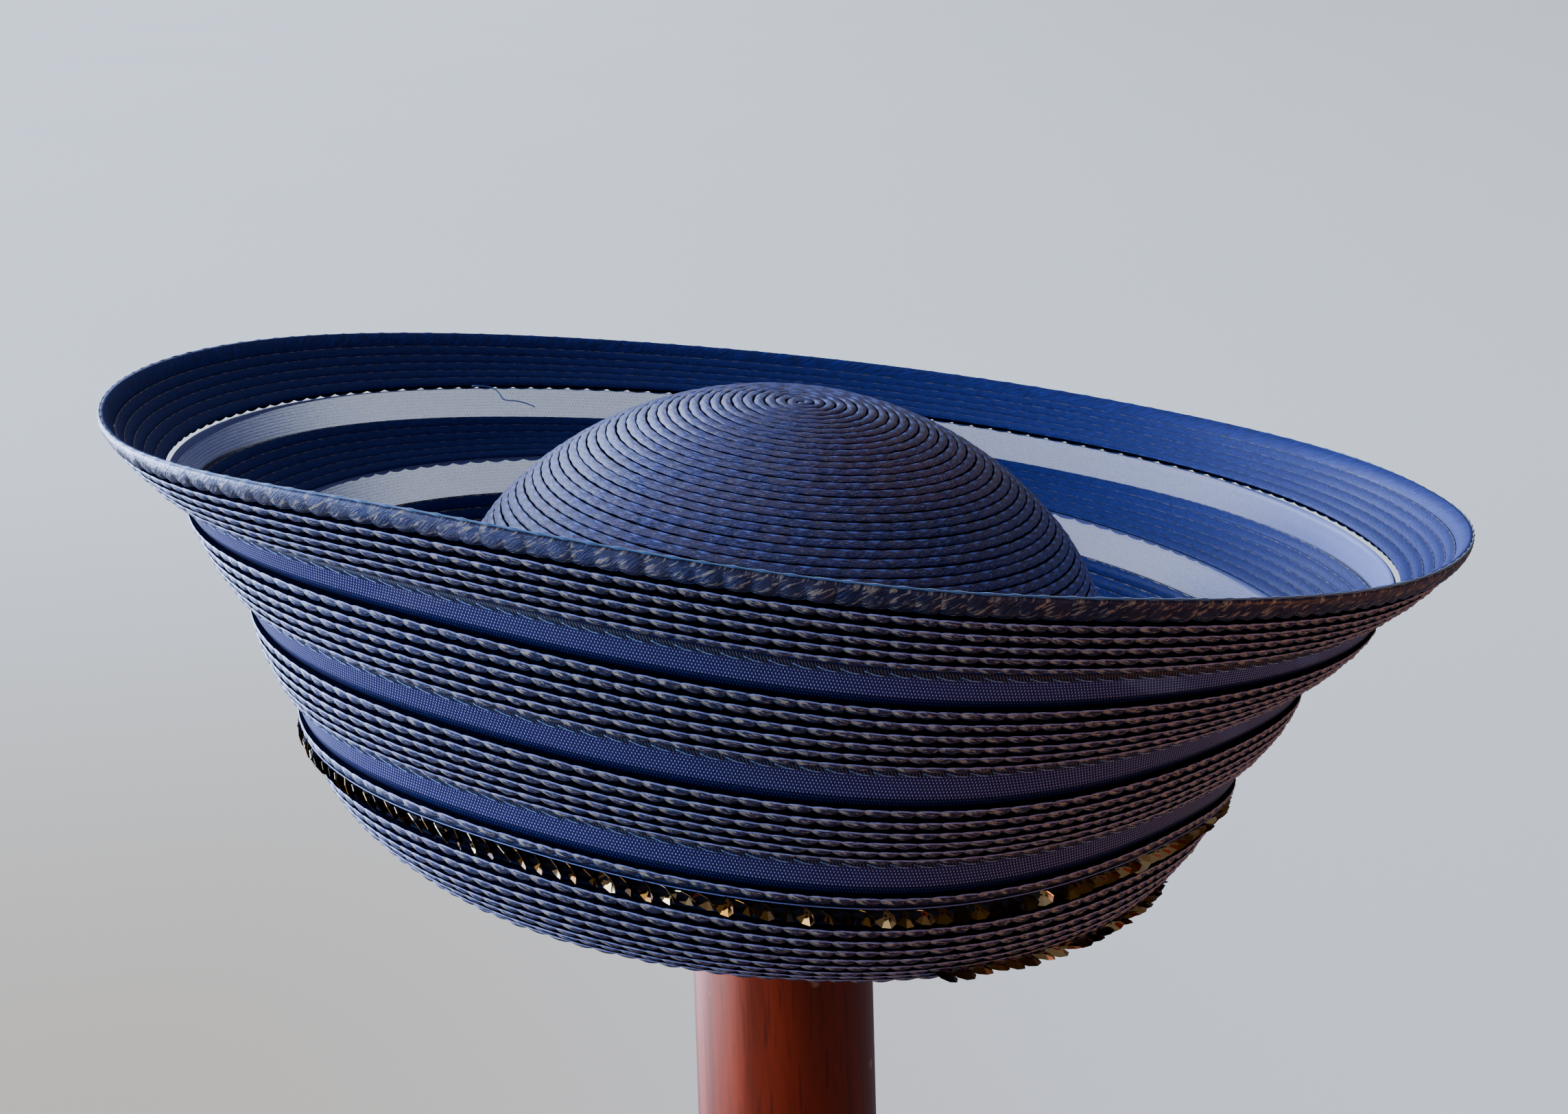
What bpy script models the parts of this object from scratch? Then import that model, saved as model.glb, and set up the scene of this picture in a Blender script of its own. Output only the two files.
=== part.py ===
"""Breton hat of sewn straw braid with sheer bands and sequin strands, resting tilted on a turned wooden stand.

Metres, +Z up. The origin is under the middle of the stand's base, and the hat is seen from -Y in the photo.
The hat is drawn in its own frame, with the fold of the brim at height nought and the crown's axis upright.
It is then leaned over and set down on the stand's dome, which has the same centre as the crown's top.
"""
import math

import bmesh
import bpy
from mathutils import Matrix, Vector

# Crown, from the head opening up to the tip
HEAD_RADIUS = 0.093
CROWN_WALL = 0.002
CROWN_HEIGHT = 0.129
CROWN_TOP_RADIUS = 0.105
CROWN_TOP_SPREAD = math.radians(46.0)
CROWN_SIDE_LEAN = math.radians(2.8)

# Brim, from its fold under the crown up to the rim
FOLD_RADIUS = 0.104
BRAID_WALL = 0.0018
SHEER_WALL = 0.001
SHEER_RECESS = 0.0004
BASE_BAND_WIDTH = 0.0323
SEQUIN_BAND_WIDTH = 0.0076
SINGLE_ROW_WIDTH = 0.0039
SHEER_LOWER_WIDTH = 0.0094
BAND_LOWER_WIDTH = 0.0231
SHEER_MIDDLE_WIDTH = 0.0104
BAND_MIDDLE_WIDTH = 0.0207
SHEER_UPPER_WIDTH = 0.0094
BAND_OUTER_WIDTH = 0.0255
SEQUIN_PROUD = 0.0012
BRAID_SWELL = math.radians(12.0)
BASE_SWELL = math.radians(20.0)

# Second sequin strand, laid on the base band from its cut end round to the back
TAIL_HEIGHT_ON_BAND = 0.0092
TAIL_WIDTH = 0.005
TAIL_THICKNESS = 0.0042
TAIL_START = math.radians(-64.0)
TAIL_END = math.radians(90.0)

# Lean of the hat on the stand, towards the viewer and to the right
LEAN_FORWARD = math.radians(6.5)
LEAN_RIGHT = math.radians(7.1)
SEAT_SHIFT = -0.0028

# Stand
SEAT_HEIGHT = 0.239
HEAD_BLOCK_RADIUS = 0.058
HEAD_EDGE_HEIGHT = 0.010
HEAD_NECK_DROP = 0.020
POST_RADIUS = 0.0255
POST_ROUNDING = 0.0015
BASE_RADIUS = 0.090
BASE_HEIGHT = 0.024
BASE_EDGE_HEIGHT = 0.012
COLLAR_RADIUS = 0.036

GAP = 0.0003
HAT_SEGMENTS = 64
STAND_SEGMENTS = 40
CAP_STEPS = 7
SHOULDER_STEPS = 4
BAND_STEPS = 3

# Brim bands from the fold up: name, kind, width, swell, and the flare in degrees from upright at eight places
# round the hat, anticlockwise from the right
FLARE_START = math.radians(15.0)
BANDS = (
    ("brim_band_base", "base", BASE_BAND_WIDTH, BASE_SWELL, (54, 57, 56, 48, 46, 38, 42, 35)),
    ("sequin_band", "sequin", SEQUIN_BAND_WIDTH, 0.0, (28, 28, 28, 29, 28, 25, 25, 22)),
    ("brim_row", "row", SINGLE_ROW_WIDTH, 0.0, (20, 19, 18, 18, 17, 15, 18, 19)),
    ("sheer_band_lower", "sheer", SHEER_LOWER_WIDTH, 0.0, (30, 30, 29, 28, 26, 17, 15, 21)),
    ("brim_band_lower", "braid", BAND_LOWER_WIDTH, BRAID_SWELL, (26, 31, 32, 30, 27, 30, 31, 30)),
    ("sheer_band_middle", "sheer", SHEER_MIDDLE_WIDTH, 0.0, (17, 19, 23, 29, 32, 24, 17, 30)),
    ("brim_band_middle", "braid", BAND_MIDDLE_WIDTH, BRAID_SWELL, (46, 68, 72, 59, 34, 14, 20, 41)),
    ("sheer_band_upper", "sheer", SHEER_UPPER_WIDTH, 0.0, (5, 7, 17, 31, 37, 21, 19, 33)),
    ("brim_band_outer", "braid", BAND_OUTER_WIDTH, BRAID_SWELL, (55, 65, 64, 54, 48, 25, 22, 39)),
)
NAME, KIND, WIDTH, SWELL, FLARES = range(5)


def around(values, azimuth):
    """Smooth value at an azimuth, from values at eight even places round the hat."""
    count = len(values)
    turn = ((azimuth - FLARE_START) / math.tau * count) % count
    index = int(turn)
    t = turn - index
    a, b, c, d = (values[(index + k) % count] for k in (-1, 0, 1, 2))
    return b + 0.5 * t * (c - a + t * (2 * a - 5 * b + 4 * c - d + t * (3 * (b - c) + d - a)))


def band_flare(index, azimuth):
    return math.radians(around(BANDS[index][FLARES], azimuth))


def band_foot(index, azimuth):
    """Radius and height of a band's lower end, reached by walking up the bands from the fold."""
    radius, height = FOLD_RADIUS, 0.0
    for k in range(index):
        flare = band_flare(k, azimuth)
        radius += BANDS[k][WIDTH] * math.sin(flare)
        height += BANDS[k][WIDTH] * math.cos(flare)
    return radius, height


def joint_flare(index, azimuth):
    """Flare of the cut between a band and the one below it, the mean of the two surfaces that meet there."""
    if index == 0:
        below = math.radians(90.0)
    else:
        below = band_flare(index - 1, azimuth) - BANDS[index - 1][SWELL]
    if index == len(BANDS):
        return below
    return 0.5 * (below + band_flare(index, azimuth) + BANDS[index][SWELL])


def outward(flare):
    return Vector((math.cos(flare), -math.sin(flare)))


def upward(flare):
    return Vector((math.sin(flare), math.cos(flare)))


def band_line(index, azimuth, steps):
    """Points and flares up the outer face of a band, bowed outwards by its swell."""
    width, swell = BANDS[index][WIDTH], BANDS[index][SWELL]
    flare = band_flare(index, azimuth)
    foot = Vector(band_foot(index, azimuth))
    line = []
    for k in range(steps + 1):
        share = k / steps
        bow = width * swell * share * (1.0 - share)
        point = foot + upward(flare) * (width * share) + outward(flare) * bow
        line.append((point, flare + swell * (1.0 - 2.0 * share)))
    line[0] = (line[0][0], joint_flare(index, azimuth))
    line[-1] = (line[-1][0], joint_flare(index + 1, azimuth))
    return line


def strip_section(line, near, far):
    """Closed section between two depths behind an outer line, kept clear of its neighbours at both ends."""
    points = [point for point, _ in line]
    points[0] = points[0] + (points[1] - points[0]).normalized() * (GAP / 2)
    points[-1] = points[-1] + (points[-2] - points[-1]).normalized() * (GAP / 2)
    outer = [p - outward(flare) * near for p, (_, flare) in zip(points, line)]
    inner = [p - outward(flare) * far for p, (_, flare) in zip(points, line)]
    return outer + inner[::-1]


def braid_section(index, azimuth):
    return strip_section(band_line(index, azimuth, BAND_STEPS), 0.0, BRAID_WALL)


def row_section(index, azimuth):
    return strip_section(band_line(index, azimuth, 1), 0.0, BRAID_WALL)


def sheer_section(index, azimuth):
    return strip_section(band_line(index, azimuth, 1), SHEER_RECESS, SHEER_RECESS + SHEER_WALL)


def sequin_section(index, azimuth):
    """The main sequin strand: a strip on the brim's own wall that swells out where the sequins stand."""
    section = strip_section(band_line(index, azimuth, 2), 0.0, BRAID_WALL)
    section[1] = section[1] + outward(band_flare(index, azimuth)) * SEQUIN_PROUD
    return section


def base_section(index, azimuth):
    """The base band with the flat underside that runs in to the head opening."""
    line = band_line(index, azimuth, BAND_STEPS)
    line.insert(0, (Vector((HEAD_RADIUS, 0.0)), math.radians(90.0)))
    section = strip_section(line, 0.0, BRAID_WALL)
    section[0] = Vector((HEAD_RADIUS, 0.0))
    section[-1] = Vector((HEAD_RADIUS, BRAID_WALL))
    return section


def tail_section(azimuth):
    """The second strand: an upright strip resting on the outside of the base band."""
    share = TAIL_HEIGHT_ON_BAND / BASE_BAND_WIDTH
    half = TAIL_WIDTH / 2 / BASE_BAND_WIDTH
    flare = band_flare(0, azimuth)
    foot = Vector(band_foot(0, azimuth))

    def face(part, lift):
        bow = BASE_BAND_WIDTH * BASE_SWELL * part * (1.0 - part)
        facing = outward(flare + BASE_SWELL * (1.0 - 2.0 * part))
        return (foot + upward(flare) * (BASE_BAND_WIDTH * part) + outward(flare) * bow
                + facing * lift)

    seat = 2 * GAP
    return [face(share - half, seat), face(share - half, seat + TAIL_THICKNESS * 0.8),
            face(share, seat + TAIL_THICKNESS), face(share + half, seat + TAIL_THICKNESS * 0.8),
            face(share + half, seat)]


def crown_lines():
    """Outer line of the dome, an arc and a tighter shoulder, and of the almost upright side below it."""
    foot = Vector((HEAD_RADIUS + CROWN_WALL, BRAID_WALL + GAP))
    centre = Vector((0.0, CROWN_HEIGHT - CROWN_TOP_RADIUS))
    facing = Vector((math.cos(CROWN_SIDE_LEAN), math.sin(CROWN_SIDE_LEAN)))
    bend = math.sin(CROWN_TOP_SPREAD + CROWN_SIDE_LEAN)
    shoulder = -((centre - foot).dot(facing) + CROWN_TOP_RADIUS * bend) / (1.0 - bend)
    reach = Vector((math.sin(CROWN_TOP_SPREAD), math.cos(CROWN_TOP_SPREAD)))
    shoulder_centre = centre + reach * (CROWN_TOP_RADIUS - shoulder)
    side_top = shoulder_centre + facing * shoulder
    dome = []
    for k in range(CAP_STEPS + 1):
        angle = CROWN_TOP_SPREAD * k / CAP_STEPS
        turned_out = Vector((math.sin(angle), math.cos(angle)))
        dome.append((centre + turned_out * CROWN_TOP_RADIUS, turned_out))
    for k in range(1, SHOULDER_STEPS + 1):
        angle = CROWN_TOP_SPREAD + (math.radians(90.0) - CROWN_SIDE_LEAN - CROWN_TOP_SPREAD) * k / SHOULDER_STEPS
        turned_out = Vector((math.sin(angle), math.cos(angle)))
        dome.append((shoulder_centre + turned_out * shoulder, turned_out))
    start = side_top + (foot - side_top).normalized() * GAP
    return dome, [(start, facing), (foot, facing)]


def walled(line):
    """Outer points of a line with its facings, and the points one crown wall behind them."""
    return [point for point, _ in line], [point - facing * CROWN_WALL for point, facing in line]


def material(name, colour, roughness, metallic=0.0):
    result = bpy.data.materials.new(name)
    result.use_nodes = True
    shader = result.node_tree.nodes["Principled BSDF"]
    shader.inputs["Base Color"].default_value = (*colour, 1.0)
    shader.inputs["Roughness"].default_value = roughness
    shader.inputs["Metallic"].default_value = metallic
    result.diffuse_color = (*colour, 1.0)
    return result


def finish(name, mesh, look, placed):
    """Turn a bmesh into a named object with faces out, smooth where round and sharp at its edges."""
    bmesh.ops.recalc_face_normals(mesh, faces=mesh.faces)
    data = bpy.data.meshes.new(name)
    mesh.to_mesh(data)
    mesh.free()
    data.materials.append(look)
    data.shade_smooth()
    data.set_sharp_from_angle(angle=math.radians(40.0))
    result = bpy.data.objects.new(name, data)
    bpy.context.scene.collection.objects.link(result)
    result.matrix_world = placed
    return result


def swept(name, section_at, azimuths, closed, look, placed):
    """Loft a closed section round the hat's axis, right round or between two ends."""
    mesh = bmesh.new()
    loops = []
    for azimuth in azimuths:
        turn = (math.cos(azimuth), math.sin(azimuth))
        loops.append([mesh.verts.new((p.x * turn[0], p.x * turn[1], p.y)) for p in section_at(azimuth)])
    spans = len(loops) if closed else len(loops) - 1
    for k in range(spans):
        here, after = loops[k], loops[(k + 1) % len(loops)]
        for j in range(len(here)):
            following = (j + 1) % len(here)
            mesh.faces.new((here[j], here[following], after[following], after[j]))
    if not closed:
        mesh.faces.new(loops[0])
        mesh.faces.new(loops[-1])
    return finish(name, mesh, look, placed)


def turned(name, profile, segments, look, placed, height_at=None):
    """Turn a profile whose first and last points lie on the axis, with an optional shaped height."""
    mesh = bmesh.new()
    poles = [mesh.verts.new((0.0, 0.0, profile[0].y)), mesh.verts.new((0.0, 0.0, profile[-1].y))]
    loops = []
    for point in profile[1:-1]:
        loop = []
        for k in range(segments):
            azimuth = math.tau * k / segments
            loop.append(mesh.verts.new((point.x * math.cos(azimuth), point.x * math.sin(azimuth), point.y)))
        loops.append(loop)
    for k in range(segments):
        after = (k + 1) % segments
        mesh.faces.new((poles[0], loops[0][k], loops[0][after]))
        mesh.faces.new((poles[1], loops[-1][after], loops[-1][k]))
        for upper, lower in zip(loops, loops[1:]):
            mesh.faces.new((upper[k], lower[k], lower[after], upper[after]))
    if height_at is not None:
        for vertex in mesh.verts:
            vertex.co.z = height_at(vertex.co)
    return finish(name, mesh, look, placed)


def even_azimuths(segments):
    return [math.tau * k / segments for k in range(segments)]


def hat_placement():
    """Lean the hat about the centre of its crown's top and set that centre over the stand."""
    centre = Matrix.Translation((0.0, 0.0, CROWN_TOP_RADIUS - CROWN_HEIGHT))
    lean = Matrix.Rotation(LEAN_RIGHT, 4, "Y") @ Matrix.Rotation(LEAN_FORWARD, 4, "X")
    return Matrix.Translation((SEAT_SHIFT, 0.0, SEAT_HEIGHT)) @ lean @ centre


def build_crown(look, placed):
    dome, side = crown_lines()
    outer, inner = walled(dome)
    turned("crown_tip", outer + inner[::-1], HAT_SEGMENTS, look, placed)
    outer, inner = walled(side)
    inner[-1].y = outer[-1].y
    section = outer + inner[::-1]
    swept("crown_side", lambda azimuth: section, even_azimuths(HAT_SEGMENTS), True, look, placed)


def build_brim(looks, placed):
    sections = {"base": base_section, "row": row_section, "braid": braid_section, "sheer": sheer_section,
                "sequin": sequin_section}
    for index, band in enumerate(BANDS):
        section = sections[band[KIND]]
        swept(band[NAME], lambda azimuth, i=index, at=section: at(i, azimuth), even_azimuths(HAT_SEGMENTS), True,
              looks[band[KIND]], placed)


def build_tail(look, placed):
    steps = round(HAT_SEGMENTS * (TAIL_END - TAIL_START) / math.tau)
    azimuths = [TAIL_START + (TAIL_END - TAIL_START) * k / steps for k in range(steps + 1)]
    swept("sequin_tail", tail_section, azimuths, False, look, placed)


def head_profile(top):
    """Half section of the stand's head: a dome cut from the crown's inner sphere, an edge and a neck."""
    edge = math.sqrt(top ** 2 - (HEAD_BLOCK_RADIUS + abs(SEAT_SHIFT)) ** 2)
    spread = math.asin(HEAD_BLOCK_RADIUS / top)
    dome = [Vector((top * math.sin(spread * k / CAP_STEPS), top)) for k in range(CAP_STEPS + 1)]
    foot = edge - HEAD_EDGE_HEIGHT
    return dome + [Vector((HEAD_BLOCK_RADIUS, foot)), Vector((POST_RADIUS, foot - HEAD_NECK_DROP)),
                   Vector((0.0, foot - HEAD_NECK_DROP))], foot


def build_stand(wood):
    top = CROWN_TOP_RADIUS - CROWN_WALL - GAP
    profile, foot = head_profile(top)

    def dome_height(co):
        if co.z < top - GAP:
            return co.z
        return math.sqrt(top ** 2 - (co.x - SEAT_SHIFT) ** 2 - co.y ** 2)

    turned("stand_head", profile, STAND_SEGMENTS, wood, Matrix.Translation((0.0, 0.0, SEAT_HEIGHT)), dome_height)
    post_top = SEAT_HEIGHT + foot - HEAD_NECK_DROP - GAP
    post_foot = BASE_HEIGHT + GAP
    post = [Vector((0.0, post_top)), Vector((POST_RADIUS - POST_ROUNDING, post_top)),
            Vector((POST_RADIUS, post_top - POST_ROUNDING)), Vector((POST_RADIUS, post_foot)),
            Vector((0.0, post_foot))]
    turned("stand_post", post, STAND_SEGMENTS, wood, Matrix.Identity(4))
    base = [Vector((0.0, BASE_HEIGHT)), Vector((COLLAR_RADIUS, BASE_HEIGHT)),
            Vector((COLLAR_RADIUS + (BASE_HEIGHT - BASE_EDGE_HEIGHT) / 2, BASE_EDGE_HEIGHT * 1.5)),
            Vector((BASE_RADIUS - BASE_EDGE_HEIGHT / 2, BASE_EDGE_HEIGHT)),
            Vector((BASE_RADIUS, BASE_EDGE_HEIGHT / 2)), Vector((BASE_RADIUS - BASE_EDGE_HEIGHT / 4, 0.0)),
            Vector((0.0, 0.0))]
    turned("stand_base", base, STAND_SEGMENTS, wood, Matrix.Identity(4))


def main():
    for item in list(bpy.data.objects):
        bpy.data.objects.remove(item, do_unlink=True)
    braid = material("navy_braid", (0.022, 0.035, 0.125), 0.42)
    sheer = material("navy_sheer", (0.045, 0.045, 0.120), 0.60)
    sequin = material("bronze_sequins", (0.310, 0.190, 0.060), 0.25, 1.0)
    wood = material("mahogany", (0.090, 0.022, 0.010), 0.25)
    placed = hat_placement()
    build_crown(braid, placed)
    build_brim({"base": braid, "row": braid, "braid": braid, "sheer": sheer, "sequin": sequin}, placed)
    build_tail(sequin, placed)
    build_stand(wood)


if __name__ == "__main__":
    main()
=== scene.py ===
"""Dresses the breton hat and its stand: sewn braid, sheer woven bands, sequin strands, threads and turned wood.

Metres, +Z up, in the frame's own axes. The hat is seen from -Y. Every row of braid is one link of braid, modelled
once, copied along the row and bent to the hat. Braid sections are in millimetres across a row: how far up the row,
and how far out from the hat's surface.
"""
import math
from functools import partial

import bmesh
import bpy
import numpy as np
from mathutils import Matrix, Vector


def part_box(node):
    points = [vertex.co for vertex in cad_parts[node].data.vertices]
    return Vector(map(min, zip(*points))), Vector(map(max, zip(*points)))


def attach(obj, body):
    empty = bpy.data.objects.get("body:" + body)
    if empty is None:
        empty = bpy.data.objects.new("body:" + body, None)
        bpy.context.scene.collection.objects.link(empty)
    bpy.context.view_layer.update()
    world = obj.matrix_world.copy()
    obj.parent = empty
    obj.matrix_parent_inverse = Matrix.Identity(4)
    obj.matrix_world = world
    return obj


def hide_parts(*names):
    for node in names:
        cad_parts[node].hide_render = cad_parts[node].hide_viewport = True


bl_info = {
    "name": "Breton Hat Dresser",
    "version": (1, 0, 0),
    "blender": (4, 5, 0),
    "location": "View3D > Sidebar > Hat",
    "description": "Sews, trims and lights a breton hat on its stand",
    "category": "Object",
}

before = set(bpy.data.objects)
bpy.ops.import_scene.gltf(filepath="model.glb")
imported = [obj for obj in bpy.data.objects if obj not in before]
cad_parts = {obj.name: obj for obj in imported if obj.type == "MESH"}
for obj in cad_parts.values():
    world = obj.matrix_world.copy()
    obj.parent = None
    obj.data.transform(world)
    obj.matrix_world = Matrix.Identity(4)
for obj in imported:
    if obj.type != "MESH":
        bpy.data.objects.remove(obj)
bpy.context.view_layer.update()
MM = 0.001

# The hat's own shape, as its solids have it
HEAD_RADIUS = 0.093
CROWN_WALL = 0.002
CROWN_HEIGHT = 0.129
CROWN_TOP_RADIUS = 0.105
CROWN_TOP_SPREAD = math.radians(46.0)
CROWN_SIDE_LEAN = math.radians(2.8)
FOLD_RADIUS = 0.104
BRAID_WALL = 0.0018
GAP = 0.0003
LEAN_FORWARD = math.radians(6.5)
LEAN_RIGHT = math.radians(7.1)
SEAT_SHIFT = -0.0028
SEAT_HEIGHT = 0.239
TIP_SLIP = math.radians(3.0)

# Brim bands from the fold up: width and swell, then the flare in degrees from upright at eight places round the
# hat, anticlockwise from the right
FLARE_START = math.radians(15.0)
BANDS = {
    "brim_band_base": (0.0323, math.radians(20.0), (54, 57, 56, 48, 46, 38, 42, 35)),
    "sequin_band": (0.0076, 0.0, (28, 28, 28, 29, 28, 25, 25, 22)),
    "brim_row": (0.0039, 0.0, (20, 19, 18, 18, 17, 15, 18, 19)),
    "sheer_band_lower": (0.0094, 0.0, (30, 30, 29, 28, 26, 17, 15, 21)),
    "brim_band_lower": (0.0231, math.radians(12.0), (26, 31, 32, 30, 27, 30, 31, 30)),
    "sheer_band_middle": (0.0104, 0.0, (17, 19, 23, 29, 32, 24, 17, 30)),
    "brim_band_middle": (0.0207, math.radians(12.0), (46, 68, 72, 59, 34, 14, 20, 41)),
    "sheer_band_upper": (0.0094, 0.0, (5, 7, 17, 31, 37, 21, 19, 33)),
    "brim_band_outer": (0.0255, math.radians(12.0), (55, 65, 64, 54, 48, 25, 22, 39)),
}
WIDTH, SWELL, FLARES = range(3)
BAND_NAMES = tuple(BANDS)
SHEER_BANDS = ("sheer_band_lower", "sheer_band_middle", "sheer_band_upper")

# Second sequin strand on the base band
TAIL_HEIGHT_ON_BAND = 0.0092
TAIL_START = math.radians(-64.0)
TAIL_END = math.radians(90.0)

# Stand
HEAD_BLOCK_RADIUS = 0.058
HEAD_EDGE_HEIGHT = 0.010
HEAD_NECK_DROP = 0.020
POST_RADIUS = 0.0255
POST_ROUNDING = 0.0015
BASE_RADIUS = 0.090
BASE_HEIGHT = 0.024
BASE_EDGE_HEIGHT = 0.012
COLLAR_RADIUS = 0.036

# Cross-sections of one row: up the row and out from the surface, in millimetres, and the place on the colour map.
# They run from under the lower lip up the outer side, into the dark fold, to the edge that tucks under the next row,
# and down the inner side.
BRIM_SECTION = ((0.05, -1.2, -0.2), (0.0, -0.05, 0.0), (0.30, 0.32, 0.14), (1.15, 0.55, 0.45), (2.0, 0.50, 0.8),
                (2.35, 0.25, 1.0), (2.5, -1.3, 1.25), (4.1, -1.45, 1.8), (3.8, -1.7, 2.0), (2.2, -1.9, 2.5),
                (0.7, -1.8, 3.0))
EDGE_SECTION = ((0.05, -0.95, -0.2), (0.0, -0.05, 0.0), (0.35, 0.38, 0.14), (2.2, 0.75, 0.45), (4.4, 0.75, 0.7),
                (6.0, 0.4, 1.0), (6.8, -0.35, 1.05), (6.9, -1.0, 2.0), (6.3, -1.6, 2.2), (3.6, -1.85, 2.5),
                (0.9, -1.65, 3.0))
CROWN_SECTION = ((0.05, -0.9, -0.2), (0.0, -0.04, 0.0), (0.4, 0.22, 0.2), (1.5, 0.29, 0.5), (2.65, 0.2, 0.8),
                 (3.05, 0.0, 1.0), (3.15, -0.55, 1.25), (4.1, -1.0, 1.8), (3.4, -1.5, 2.2), (1.4, -1.6, 2.8))
MAP_END = 3.4
# How a link swells along its length: where each column stands, how far its lower lip rises, its body lifts and its
# ridge shifts, the last three in millimetres. The lip's three lines rise less and less.
BRIM_POD = ((0.0, 0.85, -0.34, -0.16), (0.15, 0.5, -0.02, 0.03), (0.33, 0.2, 0.16, 0.09), (0.52, 0.03, 0.22, 0.06),
            (0.71, 0.0, 0.12, 0.0), (0.91, 0.2, -0.14, -0.1))
EDGE_POD = ((0.0, 0.7, -0.3, -0.12), (0.15, 0.4, -0.05, 0.0), (0.33, 0.12, 0.14, 0.08), (0.52, 0.0, 0.2, 0.06),
            (0.71, 0.03, 0.1, 0.0), (0.91, 0.3, -0.16, -0.08))
CROWN_POD = ((0.0, 0.25, -0.08, -0.04), (0.28, 0.05, 0.08, 0.03), (0.55, 0.0, 0.1, 0.03), (0.82, 0.1, 0.02, 0.0))
# Sides with faces of painted shade: under the lip, and for brim and crown rows also in the fold between rows
PAINTED_SHADE_FOLD_FACES = {"brim": (0, 5, 6), "crown": (0, 5, 6), "edge": (0,)}
LIP_SHARES = {1: 1.0, 2: 0.85, 3: 0.35}
BODY_SHARES = {2: 1.0, 3: 0.9, 4: 0.3}
RIDGE_LINES = (4, 5)
# The distance between rows that each section is drawn for
DRAWN_PITCH = {"brim": 3.6 * MM, "edge": 6.8 * MM, "crown": 3.4 * MM}
# Rows in each band, in the underside, and in the outer band below the wide row at the rim, where they start
BAND_ROWS = {"brim_band_lower": 6, "brim_band_middle": 6, "brim_row": 1}
BASE_ROWS, UNDER_ROWS, OUTER_ROWS = 8, 3, 5
OUTER_FOOT = 1.5 * MM
# Each row starts this many links further along the map, so that no two rows show the same streaks
ROW_OFFSET = 211.0
RIM_ROW, FIRST_UNDER_ROW = 6, 20
# Columns round the hat of what has no links
SHEER_COLUMNS, THREAD_COLUMNS, WALL_COLUMNS = 480, 1200, 400
# Sequins: how high up the band they hang, how far out each strand stands, and how they swing and lean
STRAND_HEIGHT = 0.46
STRAND_OUT, TAIL_OUT = 0.5 * MM, 2.2 * MM
SEQUIN_SWING, SEQUIN_LEAN = math.radians(-30.0), math.radians(24.0)
SHAPES = {"brim": (BRIM_SECTION, BRIM_POD), "edge": (EDGE_SECTION, EDGE_POD), "crown": (CROWN_SECTION, CROWN_POD)}


def around(values, azimuth):
    """Smooth value at each azimuth, from values at eight even places round the hat."""
    values = np.asarray(values, float)
    count = len(values)
    turn = ((azimuth - FLARE_START) / math.tau * count) % count
    index = turn.astype(int)
    t = turn - index
    a, b, c, d = (values[(index + k) % count] for k in (-1, 0, 1, 2))
    return b + 0.5 * t * (c - a + t * (2 * a - 5 * b + 4 * c - d + t * (3 * (b - c) + d - a)))


def ring_point(azimuth, radius, height):
    return np.stack([radius * np.cos(azimuth), radius * np.sin(azimuth), height], axis=-1)


def on_band(name, azimuth, up, out):
    """Points of the hat's own frame, a distance up a brim band's outer face and out from it."""
    radius, height = np.full_like(azimuth, FOLD_RADIUS), np.zeros_like(azimuth)
    for below in BAND_NAMES[:BAND_NAMES.index(name)]:
        flare = np.radians(around(BANDS[below][FLARES], azimuth))
        radius = radius + BANDS[below][WIDTH] * np.sin(flare)
        height = height + BANDS[below][WIDTH] * np.cos(flare)
    width, swell, flares = BANDS[name]
    share = up / width
    flare = np.radians(around(flares, azimuth))
    bow = width * swell * share * (1.0 - share)
    facing = flare + swell * (1.0 - 2.0 * share)
    radius = radius + np.sin(flare) * up + np.cos(flare) * bow + np.cos(facing) * out
    height = height + np.cos(flare) * up - np.sin(flare) * bow - np.sin(facing) * out
    return ring_point(azimuth, radius, height)


def on_underside(azimuth, up, out):
    """Points under the brim, between the head opening and the fold."""
    return ring_point(azimuth, HEAD_RADIUS + up, -out)


def crown_shape():
    """Radius, centre and reach of the crown's shoulder arc, and the length of each stretch from the tip down."""
    foot = Vector((HEAD_RADIUS + CROWN_WALL, BRAID_WALL + GAP))
    centre = Vector((0.0, CROWN_HEIGHT - CROWN_TOP_RADIUS))
    facing = Vector((math.cos(CROWN_SIDE_LEAN), math.sin(CROWN_SIDE_LEAN)))
    bend = math.sin(CROWN_TOP_SPREAD + CROWN_SIDE_LEAN)
    radius = -((centre - foot).dot(facing) + CROWN_TOP_RADIUS * bend) / (1.0 - bend)
    reach = Vector((math.sin(CROWN_TOP_SPREAD), math.cos(CROWN_TOP_SPREAD)))
    shoulder_centre = centre + reach * (CROWN_TOP_RADIUS - radius)
    side_top = shoulder_centre + facing * radius
    dome = CROWN_TOP_RADIUS * CROWN_TOP_SPREAD
    shoulder = radius * (math.radians(90.0) - CROWN_SIDE_LEAN - CROWN_TOP_SPREAD)
    return radius, shoulder_centre, side_top, facing, dome, dome + shoulder, dome + shoulder + (side_top - foot).length


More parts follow.
